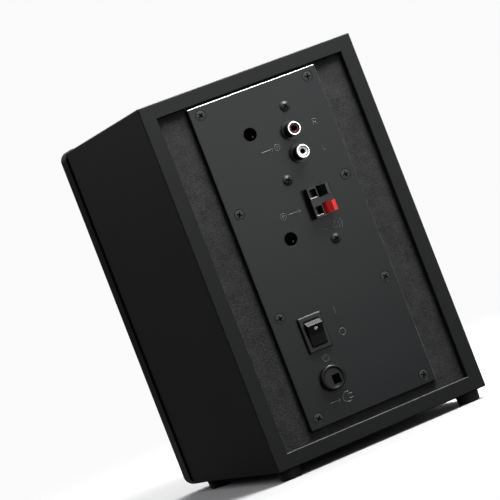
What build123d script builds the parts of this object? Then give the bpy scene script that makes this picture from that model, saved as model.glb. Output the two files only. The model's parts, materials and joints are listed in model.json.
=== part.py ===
from build123d import *
import os
from math import asin, cos, radians, sin, tan

# Powered bookshelf speaker: a small black MDF box that holds a two-way speaker in front and its own
# stereo amplifier on a steel plate at the back. Millimetres throughout.
# The speaker faces -Y, the amplifier plate faces +Y, +Z is up. The origin is on the floor, under the
# middle of the overall box. "Left" and "right" are as a listener in front of the speaker sees them.

# ---------------------------------------------------------------- driving dimensions
CABINET_W = 139.0
CABINET_H = 222.0
CABINET_D = 161.0           # rear lips to front edge, without the grille
BOARD = 9.0                 # MDF of the four walls and the rear panel
BAFFLE_T = 12.0
CORNER_R = 0.8              # fold of the vinyl along the long outer edges
LIP_OUTER_R = 0.7           # easing of the rear lips and the front edge, outside and inside
LIP_INNER_R = 0.35
REAR_RECESS = 3.8           # the rear panel sits this far inside the rear lips

FOOT_H = 6.0
FOOT_R = 7.0
FOOT_SIDE_INSET = 9.5
FOOT_REAR_INSET = 9.5
FOOT_FRONT_INSET = 20.5

GRILLE_T = 16.2
GRILLE_GAP = 1.5            # shadow gap between the grille and the cabinet
GRILLE_OVERHANG = 1.2
GRILLE_EDGE_R = 5.5
GRILLE_PLAN_R = 6.0
GRILLE_BAR = 13.0
GRILLE_GUSSET = 20.0
CLOTH_T = 0.6
CLOTH_INSET = 6.0
PEG_R = 2.8
PEG_INSET = 17.0
PEG_REACH = 8.0             # length of peg inside its socket
SOCKET_R = 4.5
SOCKET_RIM_R = 5.5
SOCKET_RIM_T = 1.0
RUNNING_GAP = 0.06

PLATE_W = 84.0
PLATE_H = 197.5
PLATE_T = 2.0
PLATE_EDGE_R = 0.7
PLATE_HOLE_EDGE = 0.25      # chamfer round the two open jack holes
PLATE_X = -0.3
PLATE_UP = 113.1            # centre of the plate above the cabinet's underside
PLATE_SETBACK = 1.0         # the plate's outer face sits this far inside the rear lips
GASKET_W = 11.0
CUTOUT_W = 58.0
CUTOUT_H = 172.0

PLATE_SCREW_X = (34.7, -35.6)
PLATE_SCREW_UP = (206.2, 145.2, 81.4, 20.2)
BOARD_SCREWS = ((-15.5, 194.5), (-0.6, 153.8), (-15.3, 112.6))
SCREW_SHANK_R = 1.5
SCREW_HOLE_R = 1.7          # clearance hole in sheet metal
SCREW_LENGTH = 11.0
SUNK_HEAD_R = 2.95          # countersunk heads that hold the plate
SUNK_HEAD_RISE = 0.25
COUNTERSINK_R = 3.3
PAN_HEAD_R = 3.1            # pan heads that hold the board, the drivers and the transformer
PAN_HEAD_RISE = 1.9
PAN_HEAD_RIM = 0.5
BOARD_SCREW_LENGTH = 8.0
CROSS_SPAN = 3.5            # cross recess, the same in every head
CROSS_SLOT = 0.85
CROSS_DEPTH = 1.1
CROSS_TURNS = (38, 64, 17, 52, 80, 9, 45, 71)
SPACER_AF = 5.5
SPACER_L = 14.0
AMP_BOARD_T = 1.6
AMP_BOARD_W = 66.0
AMP_BOARD_UP = (104.0, 200.0)

RCA_X = -13.3
RCA_UP = {"red": 180.4, "white": 166.3}
RCA_REACH = 7.5             # barrel length outside the plate
RCA_BARREL_R = 4.15
RCA_WALL = 1.05
RCA_LIP = 0.4               # easing of the barrel's front edge, outside and inside
RCA_FACE_SETBACK = 0.7      # the insulator's face inside the barrel's end
RCA_HOLE_R = 1.7
RCA_BOSS_R = 5.7
RCA_BOSS_PROUD = 1.2
RCA_SEAT = 8.0              # barrel length inside the housing
RCA_SEAT_R = 3.6
RCA_BLOCK_HALF = 6.3
RCA_BLOCK_OVER = 7.3        # the housing reaches this far beyond the outer barrels' centres

MINI_JACK_X = 10.75
MINI_JACK_UP = {"input": 186.0, "output": 121.5}
MINI_JACK_HOLE_R = 3.9
MINI_JACK_HALF = 5.0
MINI_JACK_SETBACK = 1.5     # its mouth behind the plate's inner face
MINI_JACK_BORE_R = 1.8
MINI_JACK_BORE_L = 11.5

TERMINAL_X = (-20.6, -7.1)
TERMINAL_UP = (127.0, 145.4)
TERMINAL_PROUD = 5.5
TERMINAL_WALL = 0.5         # the part behind the plate is this much smaller all round
TERMINAL_TAIL = 12.0
LEVER_UP = {"red": 131.0, "black": 141.4}
LEVER_H = 6.2
LEVER_POCKET_H = 6.9
LEVER_PIVOT_X = -14.9
LEVER_PIVOT_OUT = 2.6       # pivot height above the plate
LEVER_HUB_R = 1.7
LEVER_PIN_R = 0.8
LEVER_CREST = 5.9           # the lever's proud end above its pivot
WIRE_HOLE_X = (-12.3, -7.5)
WIRE_HOLE_H = 5.2
TERMINAL_FLOOR = 0.5        # floor of the pockets above the plate
CONTACT_T = 0.25
NUB_R = 0.6                 # moulded nubs on the terminal's upper edge

SWITCH_X = 18.2
SWITCH_UP = 66.7
SWITCH_BEZEL = (15.2, 21.4)
SWITCH_BEZEL_T = 2.0
SWITCH_BODY = (13.0, 19.0)
SWITCH_BODY_L = 13.0
SWITCH_WELL = (10.3, 16.0)
SWITCH_WELL_DEPTH = 9.0
SWITCH_TILT = 14.0          # the paddle leans this far either way from its middle position
SWITCH_PIVOT_DEPTH = 2.7    # pivot below the bezel's face
PADDLE_W = 9.7
PADDLE_WAIST = 4.4          # middle of the paddle's face above the pivot
# Half of the paddle's outline, (along the speaker's height, out of the plate) from the pivot.
PADDLE_CREST = (6.2, 5.3)
PADDLE_BASE = (7.85, 0.3)
PADDLE_SKIRT = (7.3, -2.6)
PADDLE_CREST_R = 0.3
PADDLE_PIN_R = 1.0
PADDLE_PIN_L = 11.8

GLAND_X = 18.2
GLAND_UP = 38.9
GLAND_RIM_R = 7.5
GLAND_RIM_T = 3.5
GLAND_RIM_EDGE = 1.0
GLAND_DISH = (6.3, 5.4, 1.1)    # radius at the rim, radius at the floor, depth
GLAND_NECK_R = 5.8
GLAND_L = 14.0
CORD_SLOT = (5.0, 5.5)
CORD_SLOT_OFFSET = (-1.7, -1.3)

HEAT_SINK_W = 52.0
HEAT_SINK_REACH = 30.0
HEAT_SINK_UP = 180.0
HEAT_SINK_BASE = 3.0
HEAT_SINK_FINS = 7
FIN_T = 1.4
FIN_H = 12.0
CHIP_W = 20.0
CHIP_T = 4.6
CHIP_REACH = 19.0
CAPACITOR_R = 8.0
CAPACITOR_L = 28.0
CAPACITOR_UP = 142.0

CORE = (48.0, 20.0, 40.0)
CORE_LEG = 8.0              # outer legs and yokes; the middle leg is twice as wide
WINDING = (30.4, 34.0)
TRANSFORMER_Y = 26.0
STRAP_T = 1.0
STRAP_W = 18.0
STRAP_FOOT = 9.0

# Depths of both drivers are counted from the baffle's front face into the cabinet.
WOOFER_UP = 70.0
WOOFER_SCREW_CIRCLE = 51.7
WOOFER_HOLE_R = 47.0
CONE_LIP = -1.2
BASKET_SEAT = 31.6
BASKET_BACK = 33.0
COIL_R = 10.0
WOOFER_FLANGE_R = 55.0
WOOFER_FLANGE_T = 3.2
TOP_PLATE_T = 4.0
MAGNET_T = 13.0
YOKE_T = 5.0
SPIDER_DEPTH = 27.5
SURROUND_T = 0.6
ROLL_R = 3.6
ROLL_MIDDLE_R = 41.6
TWEETER_UP = 166.0
TWEETER_SCREW_CIRCLE = 28.5
TWEETER_HOLE_R = 24.6
TWEETER_FLANGE_R = 33.0
TWEETER_FLANGE_T = 2.6
DOME_R = 12.5
DOME_BASE = 2.0
DOME_RISE = 4.6
TWEETER_HUB = 4.0           # depth of the faceplate's hub, where the top plate starts

LEAD_R = 0.9
LEAD_PITCH = 2.4

# ---------------------------------------------------------------- planes that follow from them
REAR_REACH = max(RCA_REACH, LEVER_PIVOT_OUT + LEVER_CREST) - PLATE_SETBACK
OVERALL_D = REAR_REACH + CABINET_D + GRILLE_GAP + GRILLE_T
LIP_Y = OVERALL_D / 2 - REAR_REACH
FRONT_Y = LIP_Y - CABINET_D
GRILLE_BACK_Y = FRONT_Y - GRILLE_GAP
GRILLE_FRONT_Y = GRILLE_BACK_Y - GRILLE_T
PLATE_Y = LIP_Y - PLATE_SETBACK
PLATE_BACK_Y = PLATE_Y - PLATE_T
PANEL_Y = LIP_Y - REAR_RECESS
AMP_BOARD_Y = PLATE_BACK_Y - SPACER_L
AMP_BOARD_INNER_Y = AMP_BOARD_Y - AMP_BOARD_T
GRILLE_W = CABINET_W + 2 * GRILLE_OVERHANG
GRILLE_H = CABINET_H + 2 * GRILLE_OVERHANG
INNER_W = CABINET_W - 2 * BOARD
INNER_H = CABINET_H - 2 * BOARD


def height(up):
    """Z of a point that is `up` above the cabinet's underside."""
    return FOOT_H + up


# ---------------------------------------------------------------- shape helpers
def block(x, y, z):
    """Box between two corners, each argument a (low, high) pair."""
    size = (x[1] - x[0], y[1] - y[0], z[1] - z[0])
    return Pos((x[0] + x[1]) / 2, (y[0] + y[1]) / 2, (z[0] + z[1]) / 2) * Box(*size)


def rod(radius, x, y, z):
    """Cylinder along Y, y a (low, high) pair."""
    return Pos(x, (y[0] + y[1]) / 2, z) * Rot(90, 0, 0) * Cylinder(radius, y[1] - y[0])


def upright(radius, x, y, z):
    """Cylinder along Z, z a (low, high) pair."""
    return Pos(x, y, (z[0] + z[1]) / 2) * Cylinder(radius, z[1] - z[0])


def crosswise(radius, x, y, z):
    """Cylinder along X, x a (low, high) pair."""
    return Pos((x[0] + x[1]) / 2, y, z) * Rot(0, 90, 0) * Cylinder(radius, x[1] - x[0])


def slab(sketch, y_from, thickness, up=0.0, x=0.0):
    """Sketch drawn as seen from the front (x across, y up), pulled from y_from towards -Y."""
    wall = Plane(origin=(x, y_from, height(up)), x_dir=(1, 0, 0), z_dir=(0, -1, 0))
    return extrude(wall * sketch, thickness)


def turned(points, x, y, up, inward=1):
    """Solid of revolution about an axis along Y. Points are (radius, depth), depth counted from y."""
    outline = make_face(Polyline(*[(r, inward * d) for r, d in points], close=True))
    return Pos(x, y, height(up)) * revolve(outline, axis=Axis.Y)


def turned_curve(outline, x, y, up):
    """As turned(), from lines and arcs already joined."""
    return Pos(x, y, height(up)) * revolve(make_face(outline), axis=Axis.Y)


def cap_arc(rim_r, rim_d, top_d, from_rim=True):
    """Arc of a sphere centred on the axis, between its rim (rim_r, rim_d) and its top (0, top_d)."""
    rise = rim_d - top_d
    sphere_r = (rim_r ** 2 + rise ** 2) / (2 * rise)
    half = asin(rim_r / abs(sphere_r)) / 2
    middle = (abs(sphere_r) * sin(half), top_d + sphere_r * (1 - cos(half)))
    if from_rim:
        return ThreePointArc((rim_r, rim_d), middle, (0, top_d))
    return ThreePointArc((0, top_d), middle, (rim_r, rim_d))


def ring_places(radius, count, first_angle):
    """(x, up) offsets spaced evenly round a circle."""
    angles = [radians(first_angle + 360 * i / count) for i in range(count)]
    return [(radius * cos(a), radius * sin(a)) for a in angles]


def group(solids):
    return Compound(children=list(solids))


# ---------------------------------------------------------------- cabinet
def cabinet_ring():
    """The four walls as one tube with eased edges, before it is cut at the mitres."""
    outer = slab(RectangleRounded(CABINET_W, CABINET_H, CORNER_R), LIP_Y, CABINET_D, up=CABINET_H / 2)
    for end in (0, -1):
        outer = fillet(outer.faces().sort_by(Axis.Y)[end].edges(), LIP_OUTER_R)
    inner = slab(Rectangle(INNER_W, INNER_H), LIP_Y + 1, CABINET_D + 2, up=CABINET_H / 2)
    ring = outer - inner
    lip = ring.faces().sort_by(Axis.Y)[-1]
    return chamfer(lip.inner_wires()[0].edges(), LIP_INNER_R)


def mitred_board(side):
    """One wall of the box, cut at 45 degrees at its two long edges. Side is an (x, z) direction."""
    half_w, half_h = CABINET_W / 2, CABINET_H / 2
    inner_w, inner_h = INNER_W / 2, INNER_H / 2
    if side[0]:
        x = side[0]
        corners = [(x * half_w, half_h), (x * half_w, -half_h),
                   (x * inner_w, -inner_h), (x * inner_w, inner_h)]
    else:
        z = side[1]
        corners = [(half_w, z * half_h), (-half_w, z * half_h),
                   (-inner_w, z * inner_h), (inner_w, z * inner_h)]
    wedge = slab(make_face(Polyline(*corners, close=True)), LIP_Y + 1, CABINET_D + 2, up=half_h)
    return cabinet_ring() & wedge


def plate_screw_places():
    return [(x, up) for x in PLATE_SCREW_X for up in PLATE_SCREW_UP]


def rear_panel():
    panel = Rectangle(INNER_W, INNER_H)
    cutout = Pos(PLATE_X, PLATE_UP - CABINET_H / 2) * RectangleRounded(CUTOUT_W, CUTOUT_H, 6)
    pilots = [Pos(x, up - CABINET_H / 2) * Circle(SCREW_SHANK_R) for x, up in plate_screw_places()]
    return slab(panel - cutout - pilots, PANEL_Y, BOARD, up=CABINET_H / 2)


def peg_places():
    across = CABINET_W / 2 - PEG_INSET
    return [(x, up) for x in (-across, across) for up in (PEG_INSET, CABINET_H - PEG_INSET)]


def woofer_screw_places():
    return [(x, WOOFER_UP + z) for x, z in ring_places(WOOFER_SCREW_CIRCLE, 4, 45)]


def tweeter_screw_places():
    return [(x, TWEETER_UP + z) for x, z in ring_places(TWEETER_SCREW_CIRCLE, 4, 45)]


def front_baffle():
    baffle = slab(Rectangle(INNER_W, INNER_H), FRONT_Y + BAFFLE_T, BAFFLE_T, up=CABINET_H / 2)
    through = (FRONT_Y - 1, FRONT_Y + BAFFLE_T + 1)
    baffle -= rod(WOOFER_HOLE_R, 0, through, height(WOOFER_UP))
    baffle -= rod(TWEETER_HOLE_R, 0, through, height(TWEETER_UP))
    for x, up in peg_places():
        baffle -= rod(SOCKET_R, x, (FRONT_Y - 1, FRONT_Y + PEG_REACH + 2), height(up))
    for x, up in woofer_screw_places() + tweeter_screw_places():
        baffle -= rod(SCREW_SHANK_R, x, (FRONT_Y - 1, FRONT_Y + SCREW_LENGTH - 1), height(up))
    return baffle


def foot(x, y):
    profile = Polyline((0, 0), (5.8, 0), (6.6, 0.8), (FOOT_R, FOOT_H), (0, FOOT_H), close=True)
    return Pos(x, y, 0) * revolve(make_face(Plane.XZ * profile), axis=Axis.Z)


# ---------------------------------------------------------------- screws
def cross_recess(top, turn):
    """Cutter for the cross in a head whose crown is at `top`, turned by some degrees."""
    arm = Box(CROSS_SPAN, 2 * CROSS_DEPTH, CROSS_SLOT)
    return Pos(0, top, 0) * Rot(0, turn, 0) * (arm + Rot(0, 90, 0) * arm)


def pan_head(turn=0):
    """Domed head standing on depth 0."""
    outline = Line((0, 0), (PAN_HEAD_R, 0))
    outline += Line((PAN_HEAD_R, 0), (PAN_HEAD_R, PAN_HEAD_RIM))
    outline += cap_arc(PAN_HEAD_R, PAN_HEAD_RIM, PAN_HEAD_RISE)
    outline += Line((0, PAN_HEAD_RISE), (0, 0))
    return revolve(make_face(outline), axis=Axis.Y) - cross_recess(PAN_HEAD_RISE, turn)


def sunk_head(turn=0):
    """Countersunk head, a little smaller than its countersink, with a slightly raised face at depth 0."""
    rim_depth = COUNTERSINK_R - SUNK_HEAD_R
    cone_depth = COUNTERSINK_R - SCREW_SHANK_R
    outline = Line((0, -cone_depth), (SCREW_SHANK_R, -cone_depth))
    outline += Line((SCREW_SHANK_R, -cone_depth), (SUNK_HEAD_R, -rim_depth))
    outline += Line((SUNK_HEAD_R, -rim_depth), (SUNK_HEAD_R, 0))
    outline += cap_arc(SUNK_HEAD_R, 0, SUNK_HEAD_RISE)
    outline += Line((0, SUNK_HEAD_RISE), (0, -cone_depth))
    return revolve(make_face(outline), axis=Axis.Y) - cross_recess(SUNK_HEAD_RISE, turn)


def plate_screw(x, up, turn):
    """Countersunk screw through the plate into the rear panel."""
    shank_top = PLATE_Y - (COUNTERSINK_R - SCREW_SHANK_R) + 0.01
    shank = rod(SCREW_SHANK_R, x, (PLATE_Y - SCREW_LENGTH, shank_top), height(up))
    return Pos(x, PLATE_Y, height(up)) * sunk_head(turn) + shank


def board_screw(x, up, turn):
    """Pan-head screw through the plate into a spacer of the amplifier board."""
    head = Pos(x, PLATE_Y, height(up)) * pan_head(turn)
    return head + rod(SCREW_SHANK_R, x, (PLATE_Y - BOARD_SCREW_LENGTH, PLATE_Y + 0.01), height(up))


def driver_screw(x, up, y, turn):
    """Pan-head screw from the front into the baffle, its head on a flange whose face is at y."""
    head = Pos(x, y, height(up)) * Rot(0, 0, 180) * pan_head(turn)
    return head + rod(SCREW_SHANK_R, x, (y - 0.01, y + SCREW_LENGTH), height(up))


# ---------------------------------------------------------------- amplifier plate and what it carries
def amp_plate():
    plate = slab(RectangleRounded(PLATE_W, PLATE_H, 0.8), PLATE_Y, PLATE_T, up=PLATE_UP, x=PLATE_X)
    plate = fillet(plate.faces().sort_by(Axis.Y)[-1].edges(), PLATE_EDGE_R)

    def hole(x, up, shape):
        return Pos(x, up - PLATE_UP) * shape

    holes = [hole(x, up, Circle(SCREW_HOLE_R)) for x, up in plate_screw_places()]
    holes += [hole(x, up, Circle(SCREW_HOLE_R)) for x, up in BOARD_SCREWS]
    holes += [hole(RCA_X, up, Circle(RCA_BOSS_R)) for up in RCA_UP.values()]
    holes += [hole(MINI_JACK_X, up, Circle(MINI_JACK_HOLE_R)) for up in MINI_JACK_UP.values()]
    terminal_x = sum(TERMINAL_X) / 2
    terminal_up = sum(TERMINAL_UP) / 2
    terminal_size = (TERMINAL_X[1] - TERMINAL_X[0], TERMINAL_UP[1] - TERMINAL_UP[0])
    holes.append(hole(terminal_x, terminal_up, Rectangle(*[s - 2 * TERMINAL_WALL for s in terminal_size])))
    holes.append(hole(SWITCH_X, SWITCH_UP, Rectangle(*SWITCH_BODY)))
    holes.append(hole(GLAND_X, GLAND_UP, Circle(GLAND_NECK_R)))
    for shape in holes:
        plate -= slab(shape, PLATE_Y + 1, PLATE_T + 2, up=PLATE_UP)
    sink = [(0, 0.5), (COUNTERSINK_R + 0.5, 0.5), (SCREW_HOLE_R, SCREW_HOLE_R - COUNTERSINK_R),
            (0, SCREW_HOLE_R - COUNTERSINK_R)]
    for x, up in plate_screw_places():
        plate -= turned(sink, x, PLATE_Y, up)
    for up in MINI_JACK_UP.values():
        rim_y = (PLATE_Y - PLATE_HOLE_EDGE, PLATE_Y + 1)
        rim = rod(MINI_JACK_HOLE_R + PLATE_HOLE_EDGE, MINI_JACK_X, rim_y, height(up))
        plate -= chamfer(rim.faces().sort_by(Axis.Y)[0].edges(), PLATE_HOLE_EDGE - 0.01)
    return plate


def plate_gasket():
    outer = Rectangle(PLATE_W - 1, PLATE_H - 1)
    inner = Rectangle(PLATE_W - 1 - 2 * GASKET_W, PLATE_H - 1 - 2 * GASKET_W)
    holes = [Pos(x - PLATE_X, up - PLATE_UP) * Circle(SCREW_HOLE_R) for x, up in plate_screw_places()]
    return slab(outer - inner - holes, PLATE_BACK_Y, PLATE_BACK_Y - PANEL_Y, up=PLATE_UP, x=PLATE_X)


def board_spacer(x, up):
    hexagon = RegularPolygon(SPACER_AF / 2, 6, major_radius=False) - Circle(SCREW_SHANK_R)
    return slab(hexagon, PLATE_BACK_Y, SPACER_L, up=up, x=x)


def amp_board():
    low, high = AMP_BOARD_UP
    board = Rectangle(AMP_BOARD_W, high - low)
    middle = (low + high) / 2
    holes = [Pos(x, up - middle) * Circle(SCREW_SHANK_R) for x, up in BOARD_SCREWS]
    return slab(board - holes, AMP_BOARD_Y, AMP_BOARD_T, up=middle)


def rca_housing():
    """Black block on the amplifier board with a round boss for each barrel."""
    low = height(min(RCA_UP.values()) - RCA_BLOCK_OVER)
    high = height(max(RCA_UP.values()) + RCA_BLOCK_OVER)
    body = block((RCA_X - RCA_BLOCK_HALF, RCA_X + RCA_BLOCK_HALF), (AMP_BOARD_Y, PLATE_BACK_Y), (low, high))
    for up in RCA_UP.values():
        body += rod(RCA_BOSS_R, RCA_X, (PLATE_BACK_Y - 0.01, PLATE_Y + RCA_BOSS_PROUD), height(up))
    for up in RCA_UP.values():
        body -= rod(RCA_SEAT_R, RCA_X, (PLATE_Y - RCA_SEAT, PLATE_Y + 5), height(up))
    return body


def rca_shell(up):
    """Chrome barrel: a narrow seat inside the housing, then the standard size with an eased front edge."""
    outer, inner = RCA_BARREL_R, RCA_BARREL_R - RCA_WALL
    profile = [(inner, -RCA_SEAT), (RCA_SEAT_R, -RCA_SEAT), (RCA_SEAT_R, RCA_BOSS_PROUD),
               (outer, RCA_BOSS_PROUD), (outer, RCA_REACH - RCA_LIP), (outer - RCA_LIP, RCA_REACH),
               (inner + RCA_LIP / 2, RCA_REACH), (inner, RCA_REACH - RCA_LIP / 2)]
    return turned(profile, RCA_X, PLATE_Y, up)


def rca_insulator(up):
    """Coloured sleeve inside the barrel, open down the middle for the plug's pin."""
    outer = RCA_BARREL_R - RCA_WALL
    face = RCA_REACH - RCA_FACE_SETBACK
    profile = [(RCA_HOLE_R, -RCA_SEAT), (outer, -RCA_SEAT), (outer, face - 0.3),
               (outer - 0.3, face), (RCA_HOLE_R + 0.3, face), (RCA_HOLE_R, face - 0.3)]
    return turned(profile, RCA_X, PLATE_Y, up)


def mini_jack(up):
    """3.5 mm socket on the amplifier board, set back behind the plate's round hole."""
    mouth = PLATE_BACK_Y - MINI_JACK_SETBACK
    z = height(up)
    body = block((MINI_JACK_X - MINI_JACK_HALF, MINI_JACK_X + MINI_JACK_HALF), (AMP_BOARD_Y, mouth),
                 (z - MINI_JACK_HALF, z + MINI_JACK_HALF))
    return body - rod(MINI_JACK_BORE_R, MINI_JACK_X, (mouth - MINI_JACK_BORE_L, mouth + 1), z)


def terminal_body():
    """Two-way push terminal: a wire hole and a lever pocket, one above the other, twice."""
    floor = PLATE_Y + TERMINAL_FLOOR
    face = PLATE_Y + TERMINAL_PROUD
    low, high = height(TERMINAL_UP[0]), height(TERMINAL_UP[1])
    front = block(TERMINAL_X, (PLATE_Y, face), (low, high))
    front = fillet(front.edges().filter_by(Axis.Y), 0.5)
    narrow = (TERMINAL_X[0] + TERMINAL_WALL, TERMINAL_X[1] - TERMINAL_WALL)
    tail = (PLATE_Y - TERMINAL_TAIL, PLATE_Y + 0.01)
    body = front + block(narrow, tail, (low + TERMINAL_WALL, high - TERMINAL_WALL))
    pocket_end = LEVER_PIVOT_X + LEVER_HUB_R + 0.3
    for up in LEVER_UP.values():
        z = height(up)
        body -= block(WIRE_HOLE_X, (floor, face + 1), (z - WIRE_HOLE_H / 2, z + WIRE_HOLE_H / 2))
        body -= block((TERMINAL_X[0] - 1, pocket_end), (floor, face + 1),
                      (z - LEVER_POCKET_H / 2, z + LEVER_POCKET_H / 2))
    for x in (TERMINAL_X[1] - 1.2, LEVER_PIVOT_X - 2.0):
        body += upright(NUB_R, x, face - NUB_R, (high - 0.2, high + 0.5))
    pivot_y = PLATE_Y + LEVER_PIVOT_OUT
    return body - upright(LEVER_PIN_R + RUNNING_GAP, LEVER_PIVOT_X, pivot_y, (low - 1, high + 1))


def terminal_lever(up):
    """Wedge that stands proud of the terminal and tips inwards about its inner end."""
    tip = LEVER_PIVOT_X - TERMINAL_X[0] - 0.2
    points = [(0, -LEVER_HUB_R), (tip - 0.6, 0.1), (tip, 0.7), (tip, LEVER_CREST - 0.7),
              (tip - 0.7, LEVER_CREST), (tip - 2.6, LEVER_CREST), (0.3, 3.4), (-0.9, 1.4),
              (-LEVER_HUB_R, 0), (-1.2, -1.2)]
    outline = Polyline(*points, close=True)
    side = Plane(origin=(LEVER_PIVOT_X, PLATE_Y + LEVER_PIVOT_OUT, height(up) - LEVER_H / 2),
                 x_dir=(-1, 0, 0), z_dir=(0, 0, -1))
    wedge = extrude(side * make_face(outline), -LEVER_H)
    pin_l = LEVER_POCKET_H + 0.7
    z = (height(up) - pin_l / 2, height(up) + pin_l / 2)
    return wedge + upright(LEVER_PIN_R, LEVER_PIVOT_X, PLATE_Y + LEVER_PIVOT_OUT, z)


def terminal_contact(up):
    """Bent strip that lines the lower and the outer wall of a wire hole."""
    low = height(up) - WIRE_HOLE_H / 2
    y = (PLATE_Y + TERMINAL_FLOOR, PLATE_Y + TERMINAL_PROUD - 0.6)
    lower = block(WIRE_HOLE_X, y, (low, low + CONTACT_T))
    outer = block((WIRE_HOLE_X[1] - CONTACT_T, WIRE_HOLE_X[1]), y, (low, low + WIRE_HOLE_H * 0.75))
    return lower + outer


def switch_pivot():
    return PLATE_Y + SWITCH_BEZEL_T - SWITCH_PIVOT_DEPTH


def switch_housing():
    z = height(SWITCH_UP)
    wide, tall = SWITCH_BEZEL
    face = PLATE_Y + SWITCH_BEZEL_T
    bezel = block((SWITCH_X - wide / 2, SWITCH_X + wide / 2), (PLATE_Y, face), (z - tall / 2, z + tall / 2))
    bezel = fillet(bezel.edges().filter_by(Axis.Y), 0.8)
    bezel = chamfer(bezel.faces().sort_by(Axis.Y)[-1].edges(), 0.6)
    wide, tall = SWITCH_BODY
    body = block((SWITCH_X - wide / 2, SWITCH_X + wide / 2), (PLATE_Y - SWITCH_BODY_L, PLATE_Y + 0.01),
                 (z - tall / 2, z + tall / 2))
    wide, tall = SWITCH_WELL
    well = block((SWITCH_X - wide / 2, SWITCH_X + wide / 2), (face - SWITCH_WELL_DEPTH, face + 1),
                 (z - tall / 2, z + tall / 2))
    pin_half = PADDLE_PIN_L / 2 + 0.1
    pin = crosswise(PADDLE_PIN_R + RUNNING_GAP, (SWITCH_X - pin_half, SWITCH_X + pin_half), switch_pivot(), z)
    return bezel + body - well - pin


def switch_rocker():
    """Paddle with a V face, leaning so that its lower half lies level with the bezel."""
    half = [(0, PADDLE_WAIST), PADDLE_CREST, PADDLE_BASE, PADDLE_SKIRT]
    outline = Polyline(*half, *[(-w, out) for w, out in reversed(half[1:])], close=True)
    # Drawn with x up the speaker and y out of the plate, then leaned to the Off position.
    side = Plane(origin=(-PADDLE_W / 2, 0, 0), x_dir=(0, 0, 1), z_dir=(-1, 0, 0))
    paddle = extrude(side * make_face(outline), -PADDLE_W)
    crests = paddle.edges().filter_by(Axis.X).sort_by(Axis.Y)[-2:]
    paddle = fillet(crests, PADDLE_CREST_R)
    paddle += crosswise(PADDLE_PIN_R, (-PADDLE_PIN_L / 2, PADDLE_PIN_L / 2), 0, 0)
    return Pos(SWITCH_X, switch_pivot(), height(SWITCH_UP)) * Rot(-SWITCH_TILT, 0, 0) * paddle


def switch_lugs():
    back = PLATE_Y - SWITCH_BODY_L
    return [block((SWITCH_X - 2.4, SWITCH_X + 2.4), (back - 8, back), (height(up) - 0.4, height(up) + 0.4))
            for up in (SWITCH_UP - 5, SWITCH_UP + 5)]


def power_gland():
    """Plastic strain relief for the mains cord: dished rim, neck through the plate, square cord slot."""
    z = height(GLAND_UP)
    rim = rod(GLAND_RIM_R, GLAND_X, (PLATE_Y, PLATE_Y + GLAND_RIM_T), z)
    rim = fillet(rim.faces().sort_by(Axis.Y)[-1].edges(), GLAND_RIM_EDGE)
    dish_r, floor_r, depth = GLAND_DISH
    rim -= turned([(0, GLAND_RIM_T + 0.5), (dish_r + 0.4, GLAND_RIM_T + 0.5), (floor_r, GLAND_RIM_T - depth),
                   (0, GLAND_RIM_T - depth)], GLAND_X, PLATE_Y, GLAND_UP)
    neck = rod(GLAND_NECK_R, GLAND_X, (PLATE_Y + GLAND_RIM_T - GLAND_L, PLATE_Y + 0.01), z)
    slot_x, slot_z = GLAND_X + CORD_SLOT_OFFSET[0], z + CORD_SLOT_OFFSET[1]
    half_w, half_h = CORD_SLOT[0] / 2, CORD_SLOT[1] / 2
    slot = block((slot_x - half_w, slot_x + half_w), (PLATE_Y - GLAND_L, PLATE_Y + GLAND_L),
                 (slot_z - half_h, slot_z + half_h))
    return rim + neck - slot


# ---------------------------------------------------------------- on the amplifier board


def heat_sink():
    z = height(HEAT_SINK_UP)
    y = (AMP_BOARD_INNER_Y - HEAT_SINK_REACH, AMP_BOARD_INNER_Y)
    sink = block((-HEAT_SINK_W / 2, HEAT_SINK_W / 2), y, (z, z + HEAT_SINK_BASE))
    step = (HEAT_SINK_W - FIN_T) / (HEAT_SINK_FINS - 1)
    for i in range(HEAT_SINK_FINS):
        x = -HEAT_SINK_W / 2 + i * step
        sink += block((x, x + FIN_T), y, (z + HEAT_SINK_BASE - 0.01, z + HEAT_SINK_BASE + FIN_H))
    return sink


def amp_chip():
    top = height(HEAT_SINK_UP)
    reach = (AMP_BOARD_INNER_Y - CHIP_REACH, AMP_BOARD_INNER_Y - 3)
    chip = block((-CHIP_W / 2, CHIP_W / 2), reach, (top - CHIP_T, top))
    pin_z = (top - CHIP_T / 2 - 0.3, top - CHIP_T / 2 + 0.3)
    for i in range(9):
        x = (i - 4) * 2.0
        chip += block((x - 0.3, x + 0.3), (reach[1] - 0.01, AMP_BOARD_INNER_Y), pin_z)
    return chip


def filter_capacitor(x):
    end = AMP_BOARD_INNER_Y - CAPACITOR_L
    can = rod(CAPACITOR_R, x, (end, AMP_BOARD_INNER_Y), height(CAPACITOR_UP))
    return fillet(can.edges().filter_by(GeomType.CIRCLE), 0.8)


# ---------------------------------------------------------------- mains transformer


def transformer_core():
    wide, deep, tall = CORE
    window = ((wide - 4 * CORE_LEG) / 2, tall - 2 * CORE_LEG)
    offset = CORE_LEG + window[0] / 2
    face = Rectangle(wide, tall)
    face -= [Pos(side * offset, 0) * Rectangle(*window) for side in (-1, 1)]
    return slab(face, TRANSFORMER_Y + deep / 2, deep, up=BOARD + tall / 2)


def transformer_winding():
    """Wound bobbin round the middle leg, filling the windows and bulging out in front and behind."""
    wide, deep, tall = CORE
    inner = tall - 2 * CORE_LEG
    z = (height(BOARD + CORE_LEG), height(BOARD + CORE_LEG + inner))
    half_w, half_d = WINDING[0] / 2, WINDING[1] / 2
    body = block((-half_w, half_w), (TRANSFORMER_Y - half_d, TRANSFORMER_Y + half_d), z)
    body = fillet(body.edges().filter_by(Axis.Z), 4)
    return body - block((-CORE_LEG, CORE_LEG), (TRANSFORMER_Y - deep / 2, TRANSFORMER_Y + deep / 2), z)


def strap_foot_x():
    return CORE[0] / 2 + STRAP_T + STRAP_FOOT / 2


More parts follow.
